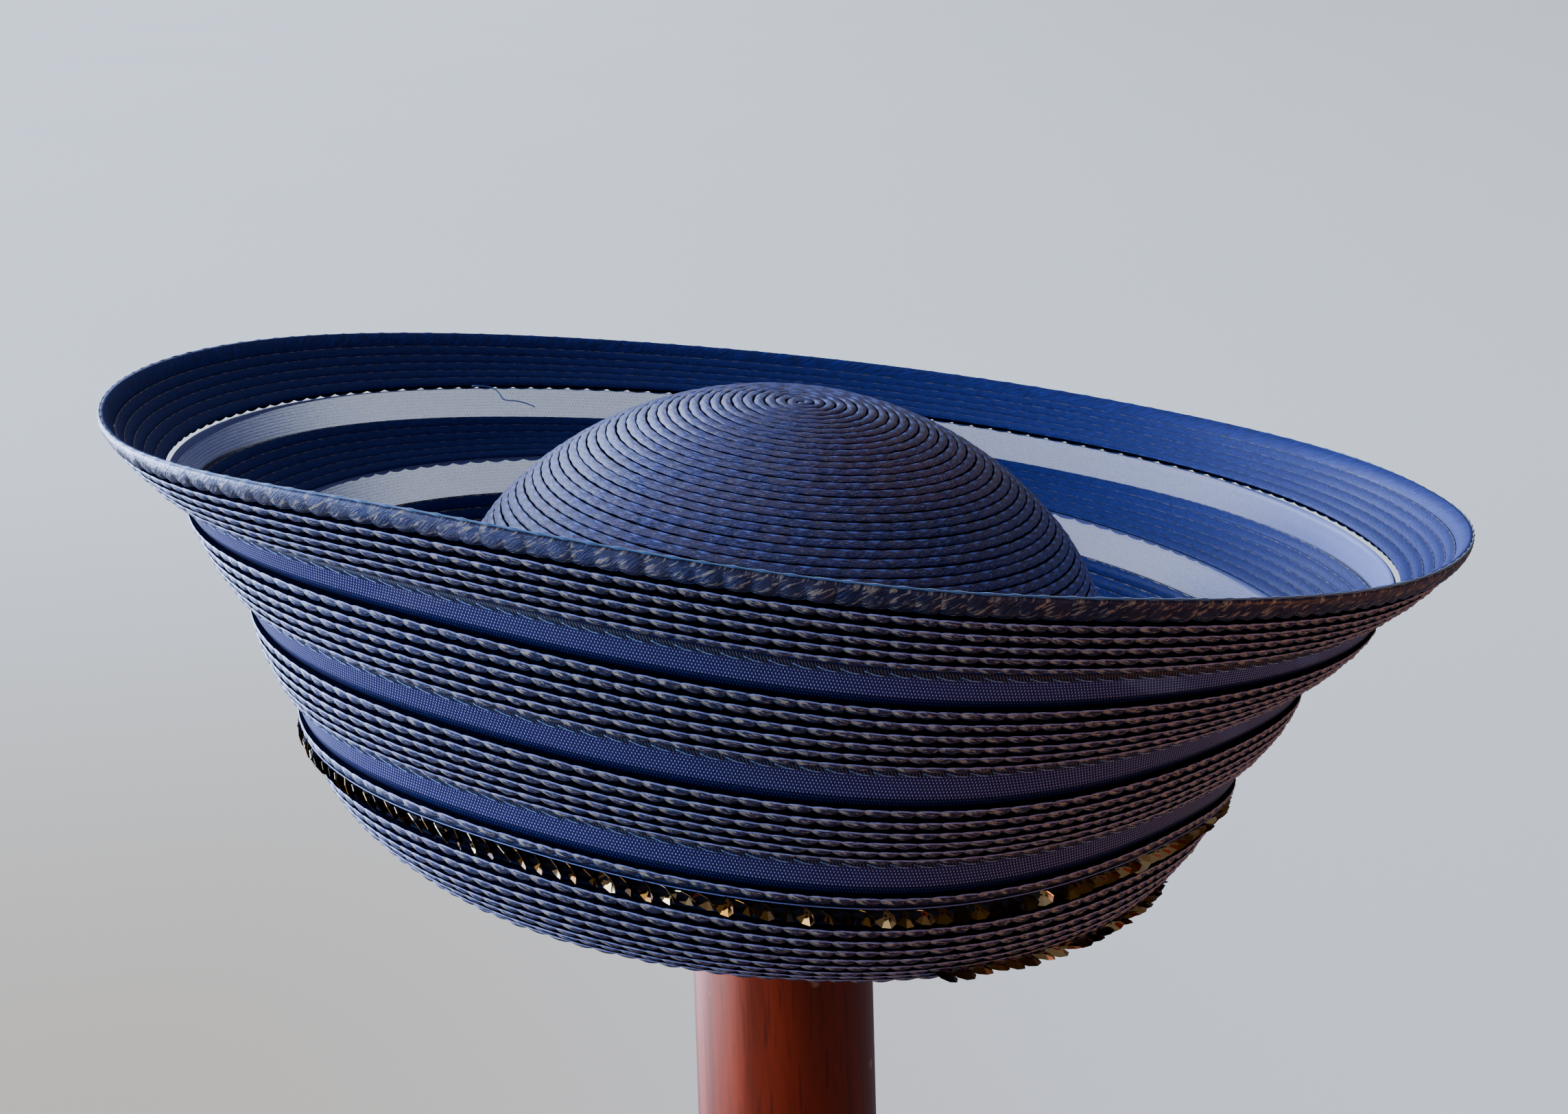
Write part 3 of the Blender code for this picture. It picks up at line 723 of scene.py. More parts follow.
# What the panel can change: its label, what it is, its value, and for a number its unit or range
SETTINGS = {
    "link_length": ("Link length", "Length of one turn of the plait", 0.0063, LENGTH),
    "crown_link": ("Crown link", "Length of one turn of the crown's finer plait", 0.0070, LENGTH),
    "crown_pitch": ("Crown row", "Width that shows of a crown row", 0.0030, LENGTH),
    "edge_width": ("Edge row", "Width of the wide row at the rim", 0.0060, LENGTH),
    "sequin_pitch": ("Sequin pitch", "Distance between sequins on their thread", 0.0052, LENGTH),
    "sequin_radius": ("Sequin radius", "Radius of one sequin", 0.0034, LENGTH),
    "mesh_pitch": ("Weave pitch", "Distance between crossings of the sheer weave", 0.00095, LENGTH),
    "thread_radius": ("Thread radius", "Radius of the sewing thread", 0.00016, LENGTH),
    "rim_thread_radius": ("Rim thread radius", "Radius of the thread bound over the rim", 0.00032, LENGTH),
    "sheer_front": ("Sheer front", "How much the sheer covers round the front and sides", 0.78, SHARE),
    "sheer_back": ("Sheer back", "How much the sheer covers at the back", 0.42, SHARE),
    "fleck_share": ("Flecks", "How strongly pale fibres show in the straw", 0.7, SHARE),
    "braid_dark": ("Braid dark", "Colour between the fibres of the straw", "#09091c"),
    "braid_blue": ("Braid blue", "Main colour of the straw", "#35324f"),
    "crown_blue": ("Crown blue", "Main colour of the crown's straw", "#55528a"),
    "rim_grey": ("Rim grey", "Main colour of the wide row at the rim", "#302f42"),
    "braid_plum": ("Braid plum", "Colour of the browner links", "#3b2e32"),
    "crown_plum": ("Crown plum", "Colour of the crown's browner links", "#5c4e54"),
    # Cream of the fibre flecks, partly painted glints, and of the painted highlight on each link's front
    "braid_cream": ("Braid cream", "Colour of the palest fibres", "#d8c6a4"),
    # Painted highlight along the crest of each row
    "ridge_light": ("Ridge", "Colour of the ridge along each row", "#aab2f0"),
    "inner_dark": ("Inner dark", "Darker colour of the straw's inner side", "#060b3c"),
    "inner_blue": ("Inner blue", "Lighter colour of the straw's inner side", "#12268c"),
    "thread_blue": ("Thread blue", "Colour of the sewing thread", "#5488e0"),
    "sheer_navy": ("Sheer navy", "Colour of the sheer between its dots", "#26225f"),
    # Painted highlight where the filaments cross
    "sheer_light": ("Sheer dots", "Colour where the filaments cross", "#cdd0fa"),
    "stitch": ("Stitch", "Colour of the overlocked stitches", "#5c6080"),
    "sequin_dark": ("Dark sequins", "Colour of the darkest sequins", "#1c1208"),
    "sequin_bronze": ("Bronze sequins", "Colour of most sequins", "#84581f"),
    "sequin_gold": ("Gold sequins", "Colour of the lightest sequins", "#f2d496"),
    "window_light": ("Window light", "Brightness of the window", 17.5, STRENGTH),
    "room_light": ("Room light", "Brightness of the room beside the window", 1.0, STRENGTH),
    "window_colour": ("Window", "Colour of the window's light", "#c8dbff"),
    "dim_wall": ("Dim wall", "Light from the wall at the right", "#626474"),
    "near_wall": ("Near wall", "Light from the wall round the window", "#a3abc4"),
    "ceiling": ("Ceiling", "Light from the ceiling", "#8b8f9c"),
    "below": ("Below", "Light from below", "#625e60"),
    "paper": ("Paper", "Colour of the floor", "#fffaea"),
    # Painted light falloff: darker, warmer paper in front of the stand
    "paper_near": ("Near paper", "Colour of the floor in front of the stand", "#d4bd9a"),
    "lamp_power": ("Lamp", "Power of the warm lamp low at the right, in watts", 5.5, STRENGTH),
    "lamp_colour": ("Lamp colour", "Colour of the warm lamp", "#ff9a3c"),
}


def setting(label, description, value, limits=None):
    kind = bpy.props.StringProperty if isinstance(value, str) else bpy.props.FloatProperty
    return kind(name=label, description=description, default=value, **(limits or {}))


class HatSizes(bpy.types.PropertyGroup):
    """Sizes and colours of the hat's dressing."""

    __annotations__ = {name: setting(*row) for name, row in SETTINGS.items()}


def sizes_of(context):
    return context.scene.hat_sizes


def mean_girth(name, up):
    """Length once round a band at a height up it."""
    azimuth = np.linspace(0.0, math.tau, 73)
    points = on_band(name, azimuth, np.full_like(azimuth, up), np.zeros_like(azimuth))
    return float(np.linalg.norm(np.diff(points, axis=0), axis=1).sum())


class HAT_OT_crown(bpy.types.Operator):
    """Wind the crown's braid from the tip to the head opening"""

    bl_idname = "hat.crown"
    bl_label = "Wind the crown"

    def execute(self, context):
        sizes = sizes_of(context)
        random = np.random.default_rng(11)
        link = model_link("crown", sizes.crown_link)
        look = braid_material("plaited rayon straw, crown", sizes, "crown")
        fold = painted_shade_fold_material()
        *_, shoulder, foot = crown_shape()
        for name, node, start, stop in (("crown_tip_braid", "crown_tip", 1.5 * MM, shoulder),
                                        ("crown_side_braid", "crown_side", shoulder, foot)):
            strip = Strip()
            sew_spiral(strip, link, start, stop, sizes.crown_pitch, random)
            ride_and_replace(strip.finish(name, look, fold), "braid", node)
        return {"FINISHED"}


class HAT_OT_brim(bpy.types.Operator):
    """Sew the braid rows of the brim"""

    bl_idname = "hat.brim"
    bl_label = "Sew the brim"

    def execute(self, context):
        sizes = sizes_of(context)
        random = np.random.default_rng(23)
        link = model_link("brim", sizes.link_length)
        look = braid_material("plaited rayon straw, brim", sizes, "brim")
        rim_look = braid_material("plaited rayon straw, rim", sizes, "edge")
        fold = bpy.data.materials["rayon straw in the folds, painted shade"]
        for name, rows in BAND_ROWS.items():
            strip = Strip()
            self.sew_band(strip, link, name, rows, 0.0, BANDS[name][WIDTH], random)
            ride_and_replace(strip.finish(name + "_braid", look, fold), "braid", name)
        strip = Strip()
        self.sew_under(strip, link, random)
        self.sew_band(strip, link, "brim_band_base", BASE_ROWS, 0.0, BANDS["brim_band_base"][WIDTH], random)
        ride_and_replace(strip.finish("brim_band_base_braid", look, fold), "braid", "brim_band_base")
        strip = Strip()
        width = BANDS["brim_band_outer"][WIDTH]
        plain = width - sizes.edge_width
        self.sew_band(strip, link, "brim_band_outer", OUTER_ROWS, OUTER_FOOT, plain - OUTER_FOOT, random)
        ride_and_replace(strip.finish("brim_band_outer_braid", look, fold), "braid", "brim_band_outer")
        strip = Strip()
        edge = model_link("edge", sizes.link_length * 1.1)
        sew_row(strip, "edge", edge, partial(on_band, "brim_band_outer"), plain, sizes.edge_width, RIM_ROW,
                mean_girth("brim_band_outer", plain), random)
        ride_and_replace(strip.finish("rim_braid", rim_look, fold), "braid")
        return {"FINISHED"}

    def sew_band(self, strip, link, name, rows, foot, width, random):
        pitch = width / rows
        for row in range(rows):
            low = foot + row * pitch
            sew_row(strip, "brim", link, partial(on_band, name), low, pitch, row + 1, mean_girth(name, low), random)

    def sew_under(self, strip, link, random):
        pitch = (FOLD_RADIUS - HEAD_RADIUS) / UNDER_ROWS
        for row in range(UNDER_ROWS):
            sew_row(strip, "brim", link, on_underside, row * pitch, pitch, row + FIRST_UNDER_ROW,
                    math.tau * (HEAD_RADIUS + row * pitch), random)


class HAT_OT_sheers(bpy.types.Operator):
    """Set in the sheer woven bands with their stitched edges"""

    bl_idname = "hat.sheers"
    bl_label = "Set in the sheer bands"

    def execute(self, context):
        sizes = sizes_of(context)
        look = sheer_material(sizes)
        edge_look = selvage_material(sizes)
        for name in SHEER_BANDS:
            self.weave(name, sizes, look)
            self.bind_edge(name, sizes, edge_look)
        return {"FINISHED"}

    def weave(self, name, sizes, look):
        width = BANDS[name][WIDTH]
        girth = mean_girth(name, width / 2)
        count = SHEER_COLUMNS
        levels = np.array([-0.8 * MM, 0.12 * width, 0.35 * width, 0.62 * width, 0.85 * width, width + 0.8 * MM])
        azimuth = np.arange(count) / count * math.tau
        sag = np.array([-0.9, -0.75, -0.9, -0.9, -0.75, -0.9]) * MM
        outer = np.concatenate([sag, sag[::-1] - 0.25 * MM])
        up = np.concatenate([levels, levels[::-1]])
        grid = np.broadcast_to(azimuth[:, None], (count, len(up)))
        ripple = 0.12 * MM * np.sin(grid * 9.0) * np.sin(np.clip(up / width, 0, 1) * math.pi)
        points = on_band(name, grid, np.broadcast_to(up, grid.shape), outer + ripple)
        strip = Strip()
        turns = round(girth / (2 * sizes.mesh_pitch)) * 2
        inside = np.repeat([0.0, 1.0], len(levels))
        v = np.append(up, up[0]) / (sizes.mesh_pitch * 2)
        strip.add(points, np.arange(count + 1) / count * turns, v, True, True,
                  {"share": up / width, "closeness": closeness(grid), "inside": inside})
        ride_and_replace(strip.finish(name + "_weave", look), "sheer", name)

    def bind_edge(self, name, sizes, look):
        """The overlocked strip along the top of a sheer band."""
        width = BANDS[name][WIDTH]
        girth = mean_girth(name, width)
        count = SHEER_COLUMNS
        up = np.array([width - 1.5 * MM, width - 1.4 * MM, width - 0.5 * MM, width + 0.5 * MM, width + 0.4 * MM,
                       width - 1.3 * MM])
        out = np.array([-0.6, -0.25, -0.15, -0.3, -0.7, -0.65]) * MM
        azimuth = np.broadcast_to((np.arange(count) / count * math.tau)[:, None], (count, len(up)))
        close = closeness(azimuth)
        height = width + 0.8 * MM * (1.0 - close) + (up - width) * (0.1 + 0.9 * close)
        points = on_band(name, azimuth, height, np.broadcast_to(out, azimuth.shape))
        strip = Strip()
        turns = round(girth / sizes.link_length)
        v = (np.append(up, up[0]) - width) / (2.0 * MM)
        strip.add(points, np.arange(count + 1) / count * turns, v, True, True, {})
        ride_and_replace(strip.finish(name + "_edge", look), "sheer")


def tube(strip, centres, radii, sides, closed, u):
    """A round thread along a line of points, each with its own radius."""
    after, before = np.roll(centres, -1, axis=0), np.roll(centres, 1, axis=0)
    ahead = after - before
    if not closed:
        ahead[0], ahead[-1] = centres[1] - centres[0], centres[-1] - centres[-2]
    ahead /= np.linalg.norm(ahead, axis=1)[:, None]
    side = np.cross(ahead, np.array([0.0, 0.0, 1.0]))
    side /= np.linalg.norm(side, axis=1)[:, None]
    rise = np.cross(side, ahead)
    angle = np.arange(sides) / sides * math.tau
    ring = (np.cos(angle)[None, :, None] * side[:, None, :] + np.sin(angle)[None, :, None] * rise[:, None, :])
    points = centres[:, None, :] + ring * radii[:, None, None]
    strip.add(points, u, np.arange(sides + 1) / sides, closed, True, {})


class HAT_OT_threads(bpy.types.Operator):
    """Bind the rim and sew the loops of thread along the sheer bands"""

    bl_idname = "hat.threads"
    bl_label = "Sew the threads"

    def execute(self, context):
        sizes = sizes_of(context)
        random = np.random.default_rng(37)
        self.bind_rim(sizes, random)
        self.loop_threads(sizes, random)
        self.seam_thread(sizes, random)
        self.loose_end(sizes)
        return {"FINISHED"}

    def bind_rim(self, sizes, random):
        name = "brim_band_outer"
        width = BANDS[name][WIDTH]
        count = THREAD_COLUMNS
        turn = np.arange(count) / count
        azimuth = turn * math.tau
        knots = 150
        swell = 0.5 + 0.5 * np.cos(math.tau * knots * (turn + wave(random, turn, 5, 0.004)))
        radius = sizes.rim_thread_radius * (0.8 + 0.7 * swell ** 4)
        up = width + 0.10 * MM + wave(random, turn, 6, 0.12 * MM)
        out = -0.55 * MM + wave(random, turn, 6, 0.15 * MM)
        strip = Strip()
        tube(strip, on_band(name, azimuth, up, out), radius, 6, True, np.linspace(0.0, 1200.0, count + 1))
        look = thread_material("spun polyester, rim", "#1c3264", "#4b83b8")
        ride_and_replace(strip.finish("rim_thread", look), "braid")

    def loop_threads(self, sizes, random):
        strip = Strip()
        for name in SHEER_BANDS:
            width = BANDS[name][WIDTH]
            loops = round(mean_girth(name, width) / sizes.link_length)
            for loop in range(loops):
                if closeness(loop / loops * math.tau) < 0.9:
                    continue
                t = np.linspace(0.0, 0.82, 6)
                turn = (loop + t + 0.1 * random.random()) / loops
                drop = (0.3 + 1.0 * np.sin(np.minimum(t / 0.72, 1.0) * math.pi / 2)) * MM
                up = width - drop + 0.1 * MM * random.random()
                points = on_band(name, turn * math.tau, up, np.full(6, -0.02 * MM))
                tube(strip, points, np.full(6, sizes.thread_radius * 0.8), 4, False, t)
        look = thread_material("spun polyester, loops", "#3f6cb4", "#7ea8de")
        ride_and_replace(strip.finish("sheer_loops", look), "braid")

    def seam_thread(self, sizes, random):
        name = "sequin_band"
        count = THREAD_COLUMNS
        turn = np.arange(count) / count
        up = BANDS[name][WIDTH] - 0.9 * MM + wave(random, turn, 8, 0.2 * MM)
        out = np.full(count, 0.15 * MM)
        strip = Strip()
        tube(strip, on_band(name, turn * math.tau, up, out), np.full(count, sizes.thread_radius), 5, True,
             np.linspace(0.0, 900.0, count + 1))
        look = thread_material("spun polyester, seam", "#2a3f9f", "#7f97e6")
        ride_and_replace(strip.finish("seam_thread", look), "braid")

    def loose_end(self, sizes):
        """The cut end of the sewing thread that hangs inside the far rim."""
        name = "sheer_band_upper"
        t = np.linspace(0.0, 1.0, 24)
        azimuth = np.radians(124.4 - 6.4 * t - 0.7 * np.sin(t * 7.0))
        up = BANDS[name][WIDTH] * (1.15 - 0.75 * t) + 0.7 * MM * np.sin(t * 9.0)
        out = (-1.9 - 2.6 * np.sin(t * 2.6)) * MM
        strip = Strip()
        tube(strip, on_band(name, azimuth, up, out), np.full(len(t), sizes.thread_radius * 1.3), 6, False, t)
        look = thread_material("spun polyester, loose end", "#3f6cb4", "#8db6ee")
        ride_and_replace(strip.finish("loose_thread_end", look), "braid")


def model_sequin(radius):
    """One cupped, faceted sequin with a hole, as points and faces: a disc, inset twice and pushed in."""
    clear_selection()
    bpy.ops.mesh.primitive_circle_add(vertices=8, radius=radius, fill_type="NGON")
    bpy.ops.object.mode_set(mode="EDIT")
    bpy.ops.mesh.inset(thickness=radius * 0.58, depth=0.0)
    bpy.ops.transform.translate(value=(0.0, 0.0, -radius * 0.36))
    bpy.ops.mesh.inset(thickness=radius * 0.22, depth=0.0)
    bpy.ops.mesh.delete(type="FACE")
    bpy.ops.object.mode_set(mode="OBJECT")
    piece = bpy.context.object
    wall = piece.modifiers.new("wall", "SOLIDIFY")
    wall.thickness = 0.15 * MM
    bpy.ops.object.modifier_apply(modifier="wall")
    bpy.ops.object.mode_set(mode="EDIT")
    bpy.ops.mesh.select_all(action="SELECT")
    bpy.ops.mesh.quads_convert_to_tris()
    bpy.ops.mesh.normals_make_consistent(inside=False)
    bpy.ops.object.mode_set(mode="OBJECT")
    points = np.array([vertex.co for vertex in piece.data.vertices])
    faces = np.array([face.vertices[:] for face in piece.data.polygons])
    bpy.data.objects.remove(piece)
    return points, faces


class HAT_OT_sequins(bpy.types.Operator):
    """String the two strands of sequins"""

    bl_idname = "hat.sequins"
    bl_label = "String the sequins"

    def execute(self, context):
        sizes = sizes_of(context)
        random = np.random.default_rng(41)
        sequin = model_sequin(sizes.sequin_radius)
        look = sequin_material(sizes)
        name = "sequin_band"
        middle = BANDS[name][WIDTH] * STRAND_HEIGHT
        count = round(mean_girth(name, middle) / sizes.sequin_pitch)
        turns = np.arange(count) / count * math.tau
        strand = self.string(sequin, name, turns, middle, STRAND_OUT, random, look, "sequin_strand")
        self.back_strip(name, 0.0, BANDS[name][WIDTH])
        ride_and_replace(strand, "sequins", name)
        name = "brim_band_base"
        girth = mean_girth(name, TAIL_HEIGHT_ON_BAND)
        count = round(girth * (TAIL_END - TAIL_START) / math.tau / sizes.sequin_pitch)
        turns = np.linspace(TAIL_START, TAIL_END, count)
        tail = self.string(sequin, name, turns, TAIL_HEIGHT_ON_BAND, TAIL_OUT, random, look, "sequin_tail_strand")
        ride_and_replace(tail, "sequins", "sequin_tail")
        return {"FINISHED"}

    def back_strip(self, name, low, high):
        """The braid wall that the main strand is sewn to, all in the black of the painted shade in the folds."""
        strip = Strip()
        count = WALL_COLUMNS
        azimuth = np.arange(count) / count * math.tau
        up = np.array([low - 0.5 * MM, (low + high) / 2, high + 0.5 * MM, high + 0.5 * MM, low - 0.5 * MM])
        out = np.array([-0.8, -0.8, -0.8, -1.7, -1.7]) * MM
        grid = np.broadcast_to(azimuth[:, None], (count, len(up)))
        points = on_band(name, grid, np.broadcast_to(up, grid.shape), np.broadcast_to(out, grid.shape))
        # Place 1.5 on the colour map lies in the black fold stripe: painted shade behind the sequins
        strip.add(points, np.arange(count + 1) / count * 120, np.full(len(up) + 1, 1.5), True, True, {})
        wall = strip.finish("sequin_backing", bpy.data.materials["plaited rayon straw, brim"])
        ride_and_replace(wall, "braid")

    def string(self, sequin, band, turns, middle, stand_out, random, look, name):
        points, faces = sequin
        here = on_band(band, turns, np.full(len(turns), middle), np.zeros(len(turns)))
        above = on_band(band, turns, np.full(len(turns), middle + MM), np.zeros(len(turns)))
        rise = above - here
        rise /= np.linalg.norm(rise, axis=1)[:, None]
        out = on_band(band, turns, np.full(len(turns), middle), np.full(len(turns), MM)) - here
        out /= np.linalg.norm(out, axis=1)[:, None]
        along = np.cross(rise, out)
        all_points, all_faces, tones = [], [], []
        for k in range(len(turns)):
            axes = Matrix((along[k], rise[k], out[k])).transposed()
            swing = SEQUIN_SWING + math.radians(random.normal(0.0, 4.0))
            tip = math.radians(random.normal(0.0, 6.0))
            lean = Matrix.Rotation(SEQUIN_LEAN, 3, "Z")
            tilt = lean @ Matrix.Rotation(swing, 3, "Y") @ Matrix.Rotation(tip, 3, "X")
            spin = Matrix.Rotation(random.random() * math.tau, 3, "Z")
            turned = np.array(axes @ tilt @ spin)
            centre = here[k] + out[k] * (stand_out + random.normal(0.0, 0.1 * MM))
            all_points.append(points @ turned.T + centre)
            all_faces.append(faces + k * len(points))
            tones.append(np.full(len(points), random.random()))
        faces = np.concatenate(all_faces)
        uvs = np.zeros((len(faces), 3, 2))
        strand = build_mesh(name, seated(np.concatenate(all_points)), faces, uvs, {"tone": np.concatenate(tones)},
                            (look,))
        strand.data.shade_flat()
        return strand


def turn_profile(name, profile, look):
    """Turn a half section round the upright axis: one point is drawn out along the profile and spun."""
    clear_selection()
    bpy.ops.mesh.primitive_plane_add(size=1.0)
    bpy.ops.object.mode_set(mode="EDIT")
    bpy.ops.mesh.select_mode(type="VERT")
    bpy.ops.mesh.select_all(action="SELECT")
    bpy.ops.mesh.merge(type="CENTER")
    bpy.ops.transform.translate(value=(profile[0][0], 0.0, profile[0][1]))
    for (x0, z0), (x1, z1) in zip(profile, profile[1:]):
        bpy.ops.mesh.extrude_vertices_move(TRANSFORM_OT_translate={"value": (x1 - x0, 0.0, z1 - z0)})
    bpy.ops.mesh.select_all(action="SELECT")
    bpy.ops.mesh.spin(steps=128, angle=math.tau, center=(0.0, 0.0, 0.0), axis=(0.0, 0.0, 1.0))
    bpy.ops.mesh.select_all(action="SELECT")
    bpy.ops.mesh.remove_doubles(threshold=0.00002)
    bpy.ops.mesh.normals_make_consistent(inside=False)
    bpy.ops.object.mode_set(mode="OBJECT")
    piece = bpy.context.object
    piece.name = name
    piece.data.materials.append(look)
    bpy.ops.object.shade_smooth_by_angle(angle=math.radians(35.0))
    return piece


def rounded(corner_from, corner, corner_to, radius, steps=5):
    """Points of a small round between two straight stretches of a profile."""
    a, b, c = Vector(corner_from), Vector(corner), Vector(corner_to)
    start, end = b + (a - b).normalized() * radius, b + (c - b).normalized() * radius
    line = []
    for k in range(steps + 1):
        t = k / steps
        line.append(tuple(start * (1 - t) ** 2 + b * (2 * t * (1 - t)) + end * t ** 2))
    return line


class HAT_OT_stand(bpy.types.Operator):
    """Turn the wooden stand"""

    bl_idname = "hat.stand"
    bl_label = "Turn the stand"

    def execute(self, context):
        wood = wood_material()
        low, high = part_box("stand_post")
        corners = [(0.0, high.z), (POST_RADIUS, high.z), (POST_RADIUS, low.z), (0.0, low.z)]
        profile = [corners[0], *rounded(*corners[:3], POST_ROUNDING), *rounded(*corners[1:], POST_ROUNDING / 2),
                   corners[3]]
        ride_and_replace(turn_profile("stand_post_turned", profile, wood), "wood", "stand_post")
        slope = (COLLAR_RADIUS + (BASE_HEIGHT - BASE_EDGE_HEIGHT) / 2, BASE_EDGE_HEIGHT * 1.5)
        edge = (BASE_RADIUS - BASE_EDGE_HEIGHT / 2, BASE_EDGE_HEIGHT)
        rim = (BASE_RADIUS, BASE_EDGE_HEIGHT / 2)
        foot = (BASE_RADIUS - BASE_EDGE_HEIGHT / 4, 0.0)
        collar = (COLLAR_RADIUS, BASE_HEIGHT)
        profile = [(0.0, BASE_HEIGHT), *rounded((0.0, BASE_HEIGHT), collar, slope, 2 * MM),
                   *rounded(collar, slope, edge, 5 * MM), *rounded(slope, edge, rim, 4 * MM),
                   *rounded(edge, rim, foot, 4 * MM), foot, (0.0, 0.0)]
        ride_and_replace(turn_profile("stand_base_turned", profile, wood), "wood", "stand_base")
        self.head(wood)
        return {"FINISHED"}

    def head(self, wood):
        """The domed block in the crown, cut from the sphere just inside it."""
        top = CROWN_TOP_RADIUS - CROWN_WALL - GAP
        edge = math.sqrt(top ** 2 - (HEAD_BLOCK_RADIUS + abs(SEAT_SHIFT)) ** 2)
        foot = edge - HEAD_EDGE_HEIGHT
        spread = math.asin(HEAD_BLOCK_RADIUS / top)
        dome = [(top * math.sin(spread * k / 16), SEAT_HEIGHT + top * math.cos(spread * k / 16) - 0.1 * MM)
                for k in range(17)]
        dome[-1] = (HEAD_BLOCK_RADIUS, SEAT_HEIGHT + edge)
        neck = SEAT_HEIGHT + foot - HEAD_NECK_DROP
        profile = dome + [(HEAD_BLOCK_RADIUS, SEAT_HEIGHT + foot), (POST_RADIUS, neck), (0.0, neck)]
        piece = turn_profile("stand_head_turned", profile, wood)
        for vertex in piece.data.vertices:
            if vertex.co.z > SEAT_HEIGHT + edge + MM:
                across = (vertex.co.x - SEAT_SHIFT) ** 2 + vertex.co.y ** 2
                vertex.co.z = SEAT_HEIGHT + math.sqrt(top ** 2 - across) - 0.1 * MM
        ride_and_replace(piece, "wood", "stand_head")


WINDOW_NEAR = math.radians(-26.0)
WINDOW_FAR = math.radians(62.0)
# The sunlit pane behind and to the left: where it starts and ends, and how soft its edge is
PANE_TURN = (math.radians(35.0), math.radians(50.0), math.radians(4.0))
PANE_HEIGHT = (0.02, 0.22, 0.04)
PANE_GAIN = 6.0
LAMP_PLACE, LAMP_TARGET, LAMP_SIZE = (1.25, -0.36, 0.14), (0.0, 0.0, 0.28), (0.14, 0.14)
FLOOR_SIZE, FLOOR_DROP = 120.0, 0.0002
CAMERA_PLACE = (0.0036, -1.0806, 0.4863)
CAMERA_PITCH = math.radians(80.0)
CAMERA_ROLL = math.radians(-1.64)
LENS_LENGTH = 90.0


def add_area_light(name, place, target, size, power, colour):
    clear_selection()
    bpy.ops.object.light_add(type="AREA", location=place)
    light = bpy.context.object
    light.name = name
    light.data.shape = "RECTANGLE"
    light.data.size, light.data.size_y = size
    light.data.energy = power
    light.data.color = linear(colour)[:3]
    light.rotation_mode = "QUATERNION"
    light.rotation_quaternion = (Vector(target) - Vector(place)).to_track_quat("-Z", "Y")
    return light


def room_light(sizes):
    """Daylight of a room with one wide, low window at the left: cool and bright there, dim and warm opposite."""
    world = bpy.data.worlds.new("room with a window")
    world.use_nodes = True
    tree = world.node_tree
    way = add_node(tree, "ShaderNodeTexCoord").outputs["Generated"]
    parts = add_node(tree, "ShaderNodeSeparateXYZ", None, {0: way})
    left = add_node(tree, MATH, MULTIPLY, {0: parts.outputs[0], 1: -1.0})
    height = parts.outputs[2]
    turn = add_node(tree, MATH, {"operation": "ARCTAN2"}, {0: parts.outputs[1], 1: left})
    window = add_node(tree, MATH, MULTIPLY, {0: stripe(tree, turn, WINDOW_NEAR, WINDOW_FAR, math.radians(20.0)),
                                             1: stripe(tree, height, -0.22, 0.52, 0.12)})
    wall = layered(tree, linear(sizes.dim_wall), (
        (add_node(tree, RAMP, SMOOTH, {0: left, 1: -0.35, 2: 0.9}), sizes.near_wall),
        (add_node(tree, RAMP, SMOOTH, {0: height, 1: 0.35, 2: 1.0}), sizes.ceiling),
        (add_node(tree, RAMP, SMOOTH, {0: height, 1: -0.1, 2: -0.9}), sizes.below)))
    pane = add_node(tree, MATH, MULTIPLY, {0: stripe(tree, turn, *PANE_TURN), 1: stripe(tree, height, *PANE_HEIGHT)})
    glow = add_node(tree, MATH, MULTIPLY_ADD, {0: pane, 1: sizes.window_light * PANE_GAIN, 2: sizes.window_light})
    light = add_node(tree, "ShaderNodeBackground", None, {0: linear(sizes.window_colour), 1: glow})
    dim = add_node(tree, "ShaderNodeBackground", None, {0: wall, 1: sizes.room_light})
    both = add_node(tree, "ShaderNodeMixShader", None, {0: window, 1: dim, 2: light})
    feed(tree.nodes["World Output"], {"Surface": both})
    return world


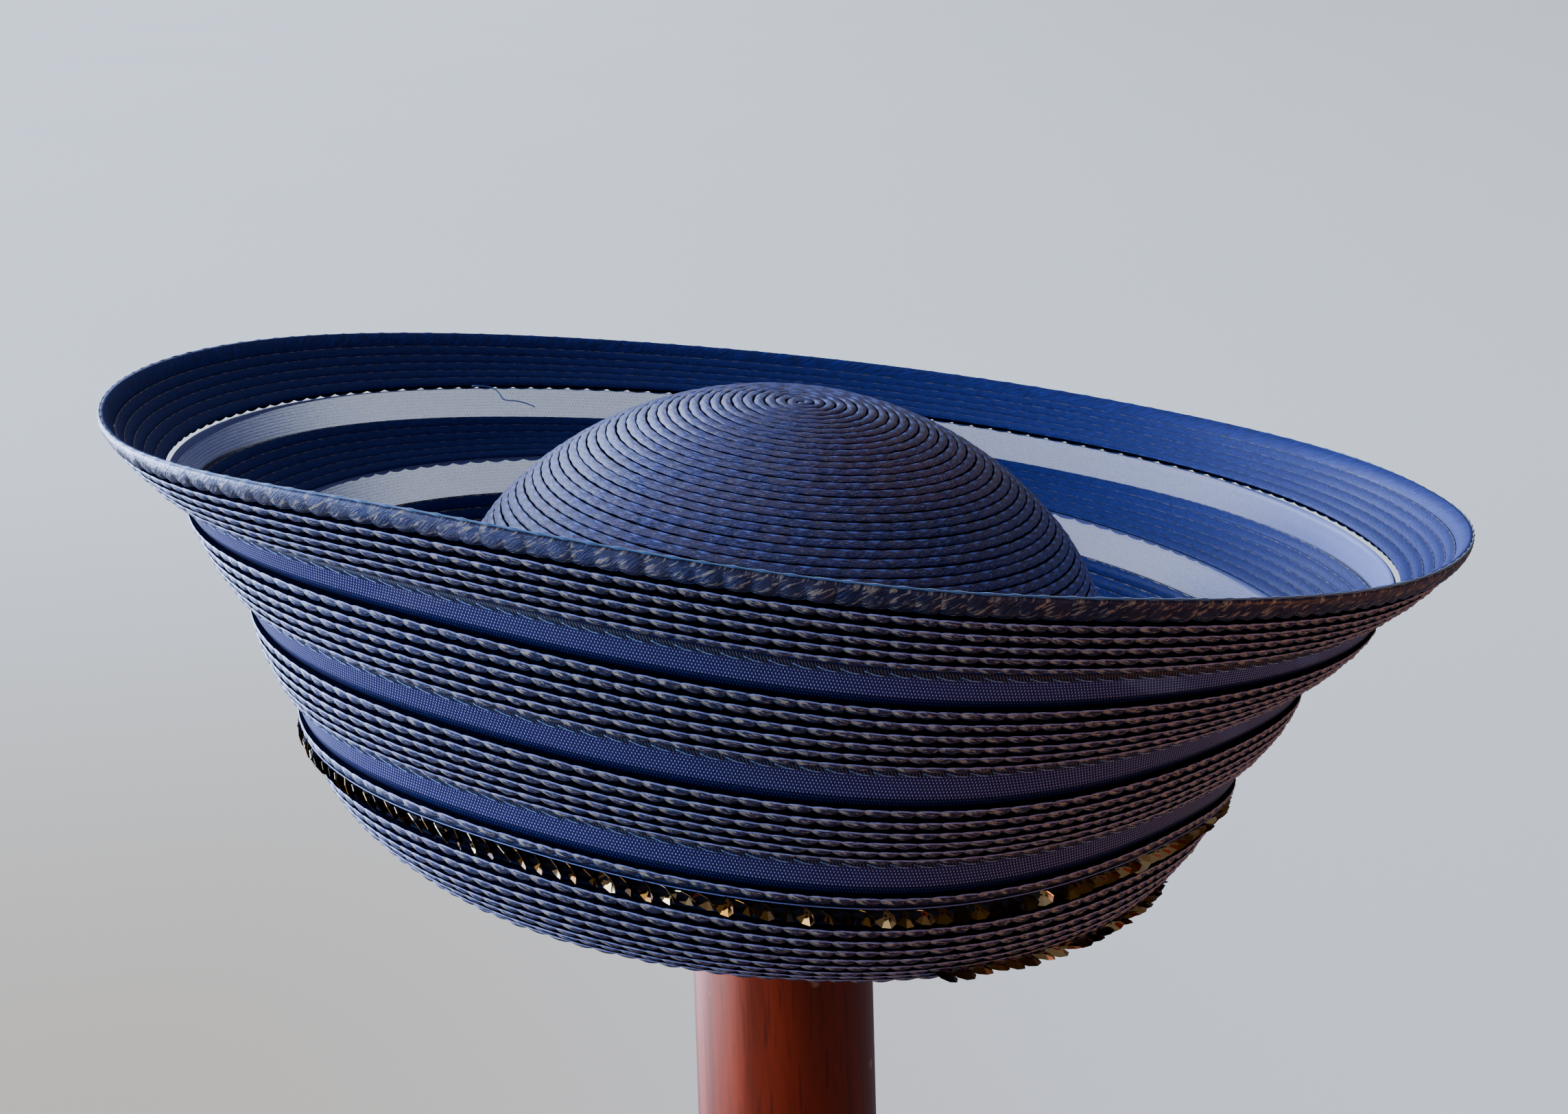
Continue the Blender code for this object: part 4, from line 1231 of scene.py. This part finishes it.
class HAT_OT_stage(bpy.types.Operator):
    """Lay the floor, and set the lights and the camera"""

    bl_idname = "hat.stage"
    bl_label = "Set the stage"

    def execute(self, context):
        sizes = sizes_of(context)
        clear_selection()
        bpy.ops.mesh.primitive_plane_add(size=FLOOR_SIZE, location=(0.0, 0.0, -FLOOR_DROP))
        floor = context.object
        floor.name = "paper_floor"
        floor.data.materials.append(floor_material(sizes))
        floor.visible_diffuse = False
        floor.visible_glossy = False
        lamp = add_area_light("lamp", LAMP_PLACE, LAMP_TARGET, LAMP_SIZE, sizes.lamp_power, sizes.lamp_colour)
        spared = bpy.data.collections.new("unlit_by_lamp")
        for thing in (floor, bpy.data.objects["stand_post_turned"]):
            spared.objects.link(thing)
        for entry in spared.collection_objects:
            entry.light_linking.link_state = "EXCLUDE"
        lamp.light_linking.receiver_collection = spared
        context.scene.world = room_light(sizes)
        bpy.ops.object.camera_add(location=CAMERA_PLACE)
        camera = context.object
        camera.name = "view"
        turn = Matrix.Rotation(CAMERA_PITCH, 3, "X") @ Matrix.Rotation(CAMERA_ROLL, 3, "Z")
        camera.rotation_euler = turn.to_euler()
        camera.data.lens = LENS_LENGTH
        camera.data.clip_end = 200.0
        context.scene.camera = camera
        return {"FINISHED"}


class HAT_PT_dress(bpy.types.Panel):
    """Lists the steps that dress the hat"""

    bl_idname = "HAT_PT_dress"
    bl_label = "Hat"
    bl_space_type = "VIEW_3D"
    bl_region_type = "UI"
    bl_category = "Hat"

    def draw(self, context):
        for name in HatSizes.__annotations__:
            self.layout.prop(context.scene.hat_sizes, name)
        for step in STEPS:
            self.layout.operator(step.bl_idname)


STEPS = (HAT_OT_stand, HAT_OT_crown, HAT_OT_brim, HAT_OT_sheers, HAT_OT_threads, HAT_OT_sequins, HAT_OT_stage)
CLASSES = (HatSizes, *STEPS, HAT_PT_dress)


def register():
    for item in CLASSES:
        bpy.utils.register_class(item)
    bpy.types.Scene.hat_sizes = bpy.props.PointerProperty(type=HatSizes)


def unregister():
    del bpy.types.Scene.hat_sizes
    for item in reversed(CLASSES):
        bpy.utils.unregister_class(item)


def main():
    register()
    for step in STEPS:
        family, name = step.bl_idname.split(".")
        getattr(getattr(bpy.ops, family), name)()


if __name__ == "__main__":
    main()
